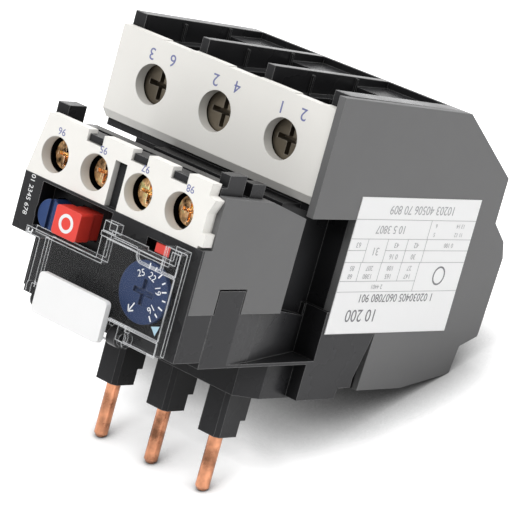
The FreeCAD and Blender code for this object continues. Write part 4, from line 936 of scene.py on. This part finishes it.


@dataclass
class Studio:
    """Camera, lights, world and floor.

    Attributes:
        recess: Shared group that paints shade in hollows; here it paints the shade round the relay on the
            floor.
        floor_dark: Darker tone of the floor.
        floor_light: Paler tone of the floor.
        floor_glow: How white the open floor looks where it is seen directly.
        floor_power: How fast the painted shade round the relay fades.
    """

    recess: bpy.types.NodeTree
    floor_dark: float = 0.62
    floor_light: float = 0.66
    floor_glow: float = 0.92
    floor_power: float = 1.9

    def __post_init__(self) -> None:
        """Finds the directions of the image."""
        self.near = (EYE - AIM).normalized()
        self.right = IMAGE_UP.cross(self.near).normalized()
        self.up = self.near.cross(self.right)

    def camera(self) -> None:
        """Long lens from the front and the label side."""
        data = bpy.data.cameras.new("camera")
        data.lens = LENS_MM
        data.sensor_width = SENSOR_MM
        data.clip_start = 0.01
        data.clip_end = 20.0
        item = bpy.data.objects.new("camera", data)
        bpy.context.collection.objects.link(item)
        turn = Matrix((self.right, self.up, self.near)).transposed().to_4x4()
        item.matrix_world = Matrix.Translation(EYE) @ turn
        bpy.context.scene.camera = item

    def lamps(self) -> None:
        """Soft panels round the relay."""
        low, high = (Vector(c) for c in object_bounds())
        centre = (low + high) / 2
        for lamp in LAMPS:
            data = bpy.data.lights.new(lamp.name, "AREA")
            data.shape = "SQUARE"
            data.size = lamp.size
            data.energy = lamp.watts
            item = bpy.data.objects.new(lamp.name, data)
            bpy.context.collection.objects.link(item)
            item.location = centre + self.right * lamp.right + self.up * lamp.up + self.near * lamp.near
            item.rotation_mode = "QUATERNION"
            item.rotation_quaternion = (item.location - centre).to_track_quat("Z", "Y")
            LOG.info("lamp %s at %.1f W", lamp.name, lamp.watts)

    def world(self) -> None:
        """Pale surroundings that look plain white to the camera."""
        world = bpy.data.worlds.new("studio")
        world.use_nodes = True
        world.node_tree.nodes.clear()
        graph = Graph(world.node_tree)
        path = graph.add("ShaderNodeLightPath")
        white = graph.add("ShaderNodeBackground", {"Color": (1.0, 1.0, 1.0, 1.0), "Strength": 1.0})
        soft = graph.add("ShaderNodeBackground", {"Color": (1.0, 1.0, 1.0, 1.0), "Strength": WORLD_LIGHT})
        direct = graph.maths("MAXIMUM", path.outputs["Is Camera Ray"], path.outputs["Is Transmission Ray"])
        seen = graph.maths("MAXIMUM", direct, path.outputs["Is Glossy Ray"])
        mix = graph.add("ShaderNodeMixShader", {0: seen, 1: soft.outputs[0], 2: white.outputs[0]})
        output = graph.add("ShaderNodeOutputWorld")
        graph.tree.links.new(mix.outputs[0], output.inputs["Surface"])
        bpy.context.scene.world = world

    def floor(self) -> None:
        """White floor under the pin tips and the rear edge, seen from its upper side only."""
        high = Vector(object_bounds()[1])
        pin_tip = Vector((0.0, 0.0, high.z))
        across = Vector((1.0, 0.0, 0.0))
        along = FLOOR_UP.cross(across)
        corners = [pin_tip + across * a * FLOOR_HALF + along * b * FLOOR_HALF
                   for a, b in ((-1, -1), (1, -1), (1, 1), (-1, 1))]
        mesh = bpy.data.meshes.new("floor")
        mesh.from_pydata(corners, [], [(0, 1, 2, 3)])
        if mesh.polygons[0].normal.dot(FLOOR_UP) < 0:
            mesh.flip_normals()
        item = bpy.data.objects.new("floor", mesh)
        bpy.context.collection.objects.link(item)
        item.data.materials.append(self.floor_material())
        item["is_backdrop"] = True

    def floor_material(self) -> bpy.types.Material:
        """Matt white that keeps the cast shadow, has painted shade round the relay in its colour and glow,
        and vanishes from below.

        Returns:
            The material.
        """
        material = bpy.data.materials.new("floor")
        material.use_nodes = True
        material.node_tree.nodes.clear()
        graph = Graph(material.node_tree)
        grain = graph.add("ShaderNodeTexNoise", {"Scale": 40.0, "Detail": 2.0})
        tone = graph.mix(grain.outputs[0], (*[self.floor_dark] * 3, 1.0), (*[self.floor_light] * 3, 1.0))
        # Painted shadow: the floor's colour darkens towards near-black close to the relay, and its glow is
        # cut there too.
        recess = graph.add("ShaderNodeGroup", node_tree=self.recess)
        recess.inputs["Reach"].default_value = FLOOR_REACH
        recess.inputs["Power"].default_value = self.floor_power
        painted_shadow_colour = (0.02, 0.02, 0.02, 1.0)
        shade = graph.mix(recess.outputs["Open"], painted_shadow_colour, tone)
        path = graph.add("ShaderNodeLightPath")
        direct = graph.maths("MAXIMUM", path.outputs["Is Camera Ray"], path.outputs["Is Transmission Ray"])
        seen = graph.maths("MAXIMUM", direct, path.outputs["Is Glossy Ray"])
        glow_outside_painted_shadow = graph.maths("MULTIPLY", recess.outputs["Open"], seen)
        glow = graph.mix(glow_outside_painted_shadow, (0.0, 0.0, 0.0, 1.0), (1.0, 1.0, 1.0, 1.0))
        matt = graph.add("ShaderNodeBsdfPrincipled", {"Base Color": shade, "Roughness": 0.7,
                                                      "Emission Color": glow,
                                                      "Emission Strength": self.floor_glow})
        matt.inputs["Specular IOR Level"].default_value = 0.1
        nothing = graph.add("ShaderNodeBsdfTransparent")
        back = graph.add("ShaderNodeNewGeometry").outputs["Backfacing"]
        mix = graph.add("ShaderNodeMixShader", {0: back, 1: matt.outputs[0], 2: nothing.outputs[0]})
        output = graph.add("ShaderNodeOutputMaterial")
        graph.tree.links.new(mix.outputs[0], output.inputs["Surface"])
        return material


def dress(frame: dict, palette: Palette) -> None:
    """Gives every CAD node the finish of its slot in the record.

    Args:
        frame: What the frame loader returned.
        palette: Finishes by slot name.
    """
    slots = {row["node"]: row["material_slot"] for row in frame["record"]["subparts"]}
    for name, item in frame["nodes"].items():
        item.data.materials.clear()
        item.data.materials.append(palette.materials[slots[name]])
        LOG.info("node %s in %s", name, slots[name])


def main() -> None:
    """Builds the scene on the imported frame."""
    logging.basicConfig(level=logging.INFO)
    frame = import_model()
    bpy.context.scene.view_settings.view_transform = "Standard"
    palette = Palette()
    dress(frame, palette)
    for spring in SPRINGS:
        spring.build(frame, palette.materials["spring_steel"])
    Printing(palette).build()
    studio = Studio(palette.recess)
    studio.world()
    studio.floor()
    studio.camera()
    studio.lamps()
    LOG.info("dressed %d nodes", len(frame["nodes"]))


if __name__ == "__main__":
    main()
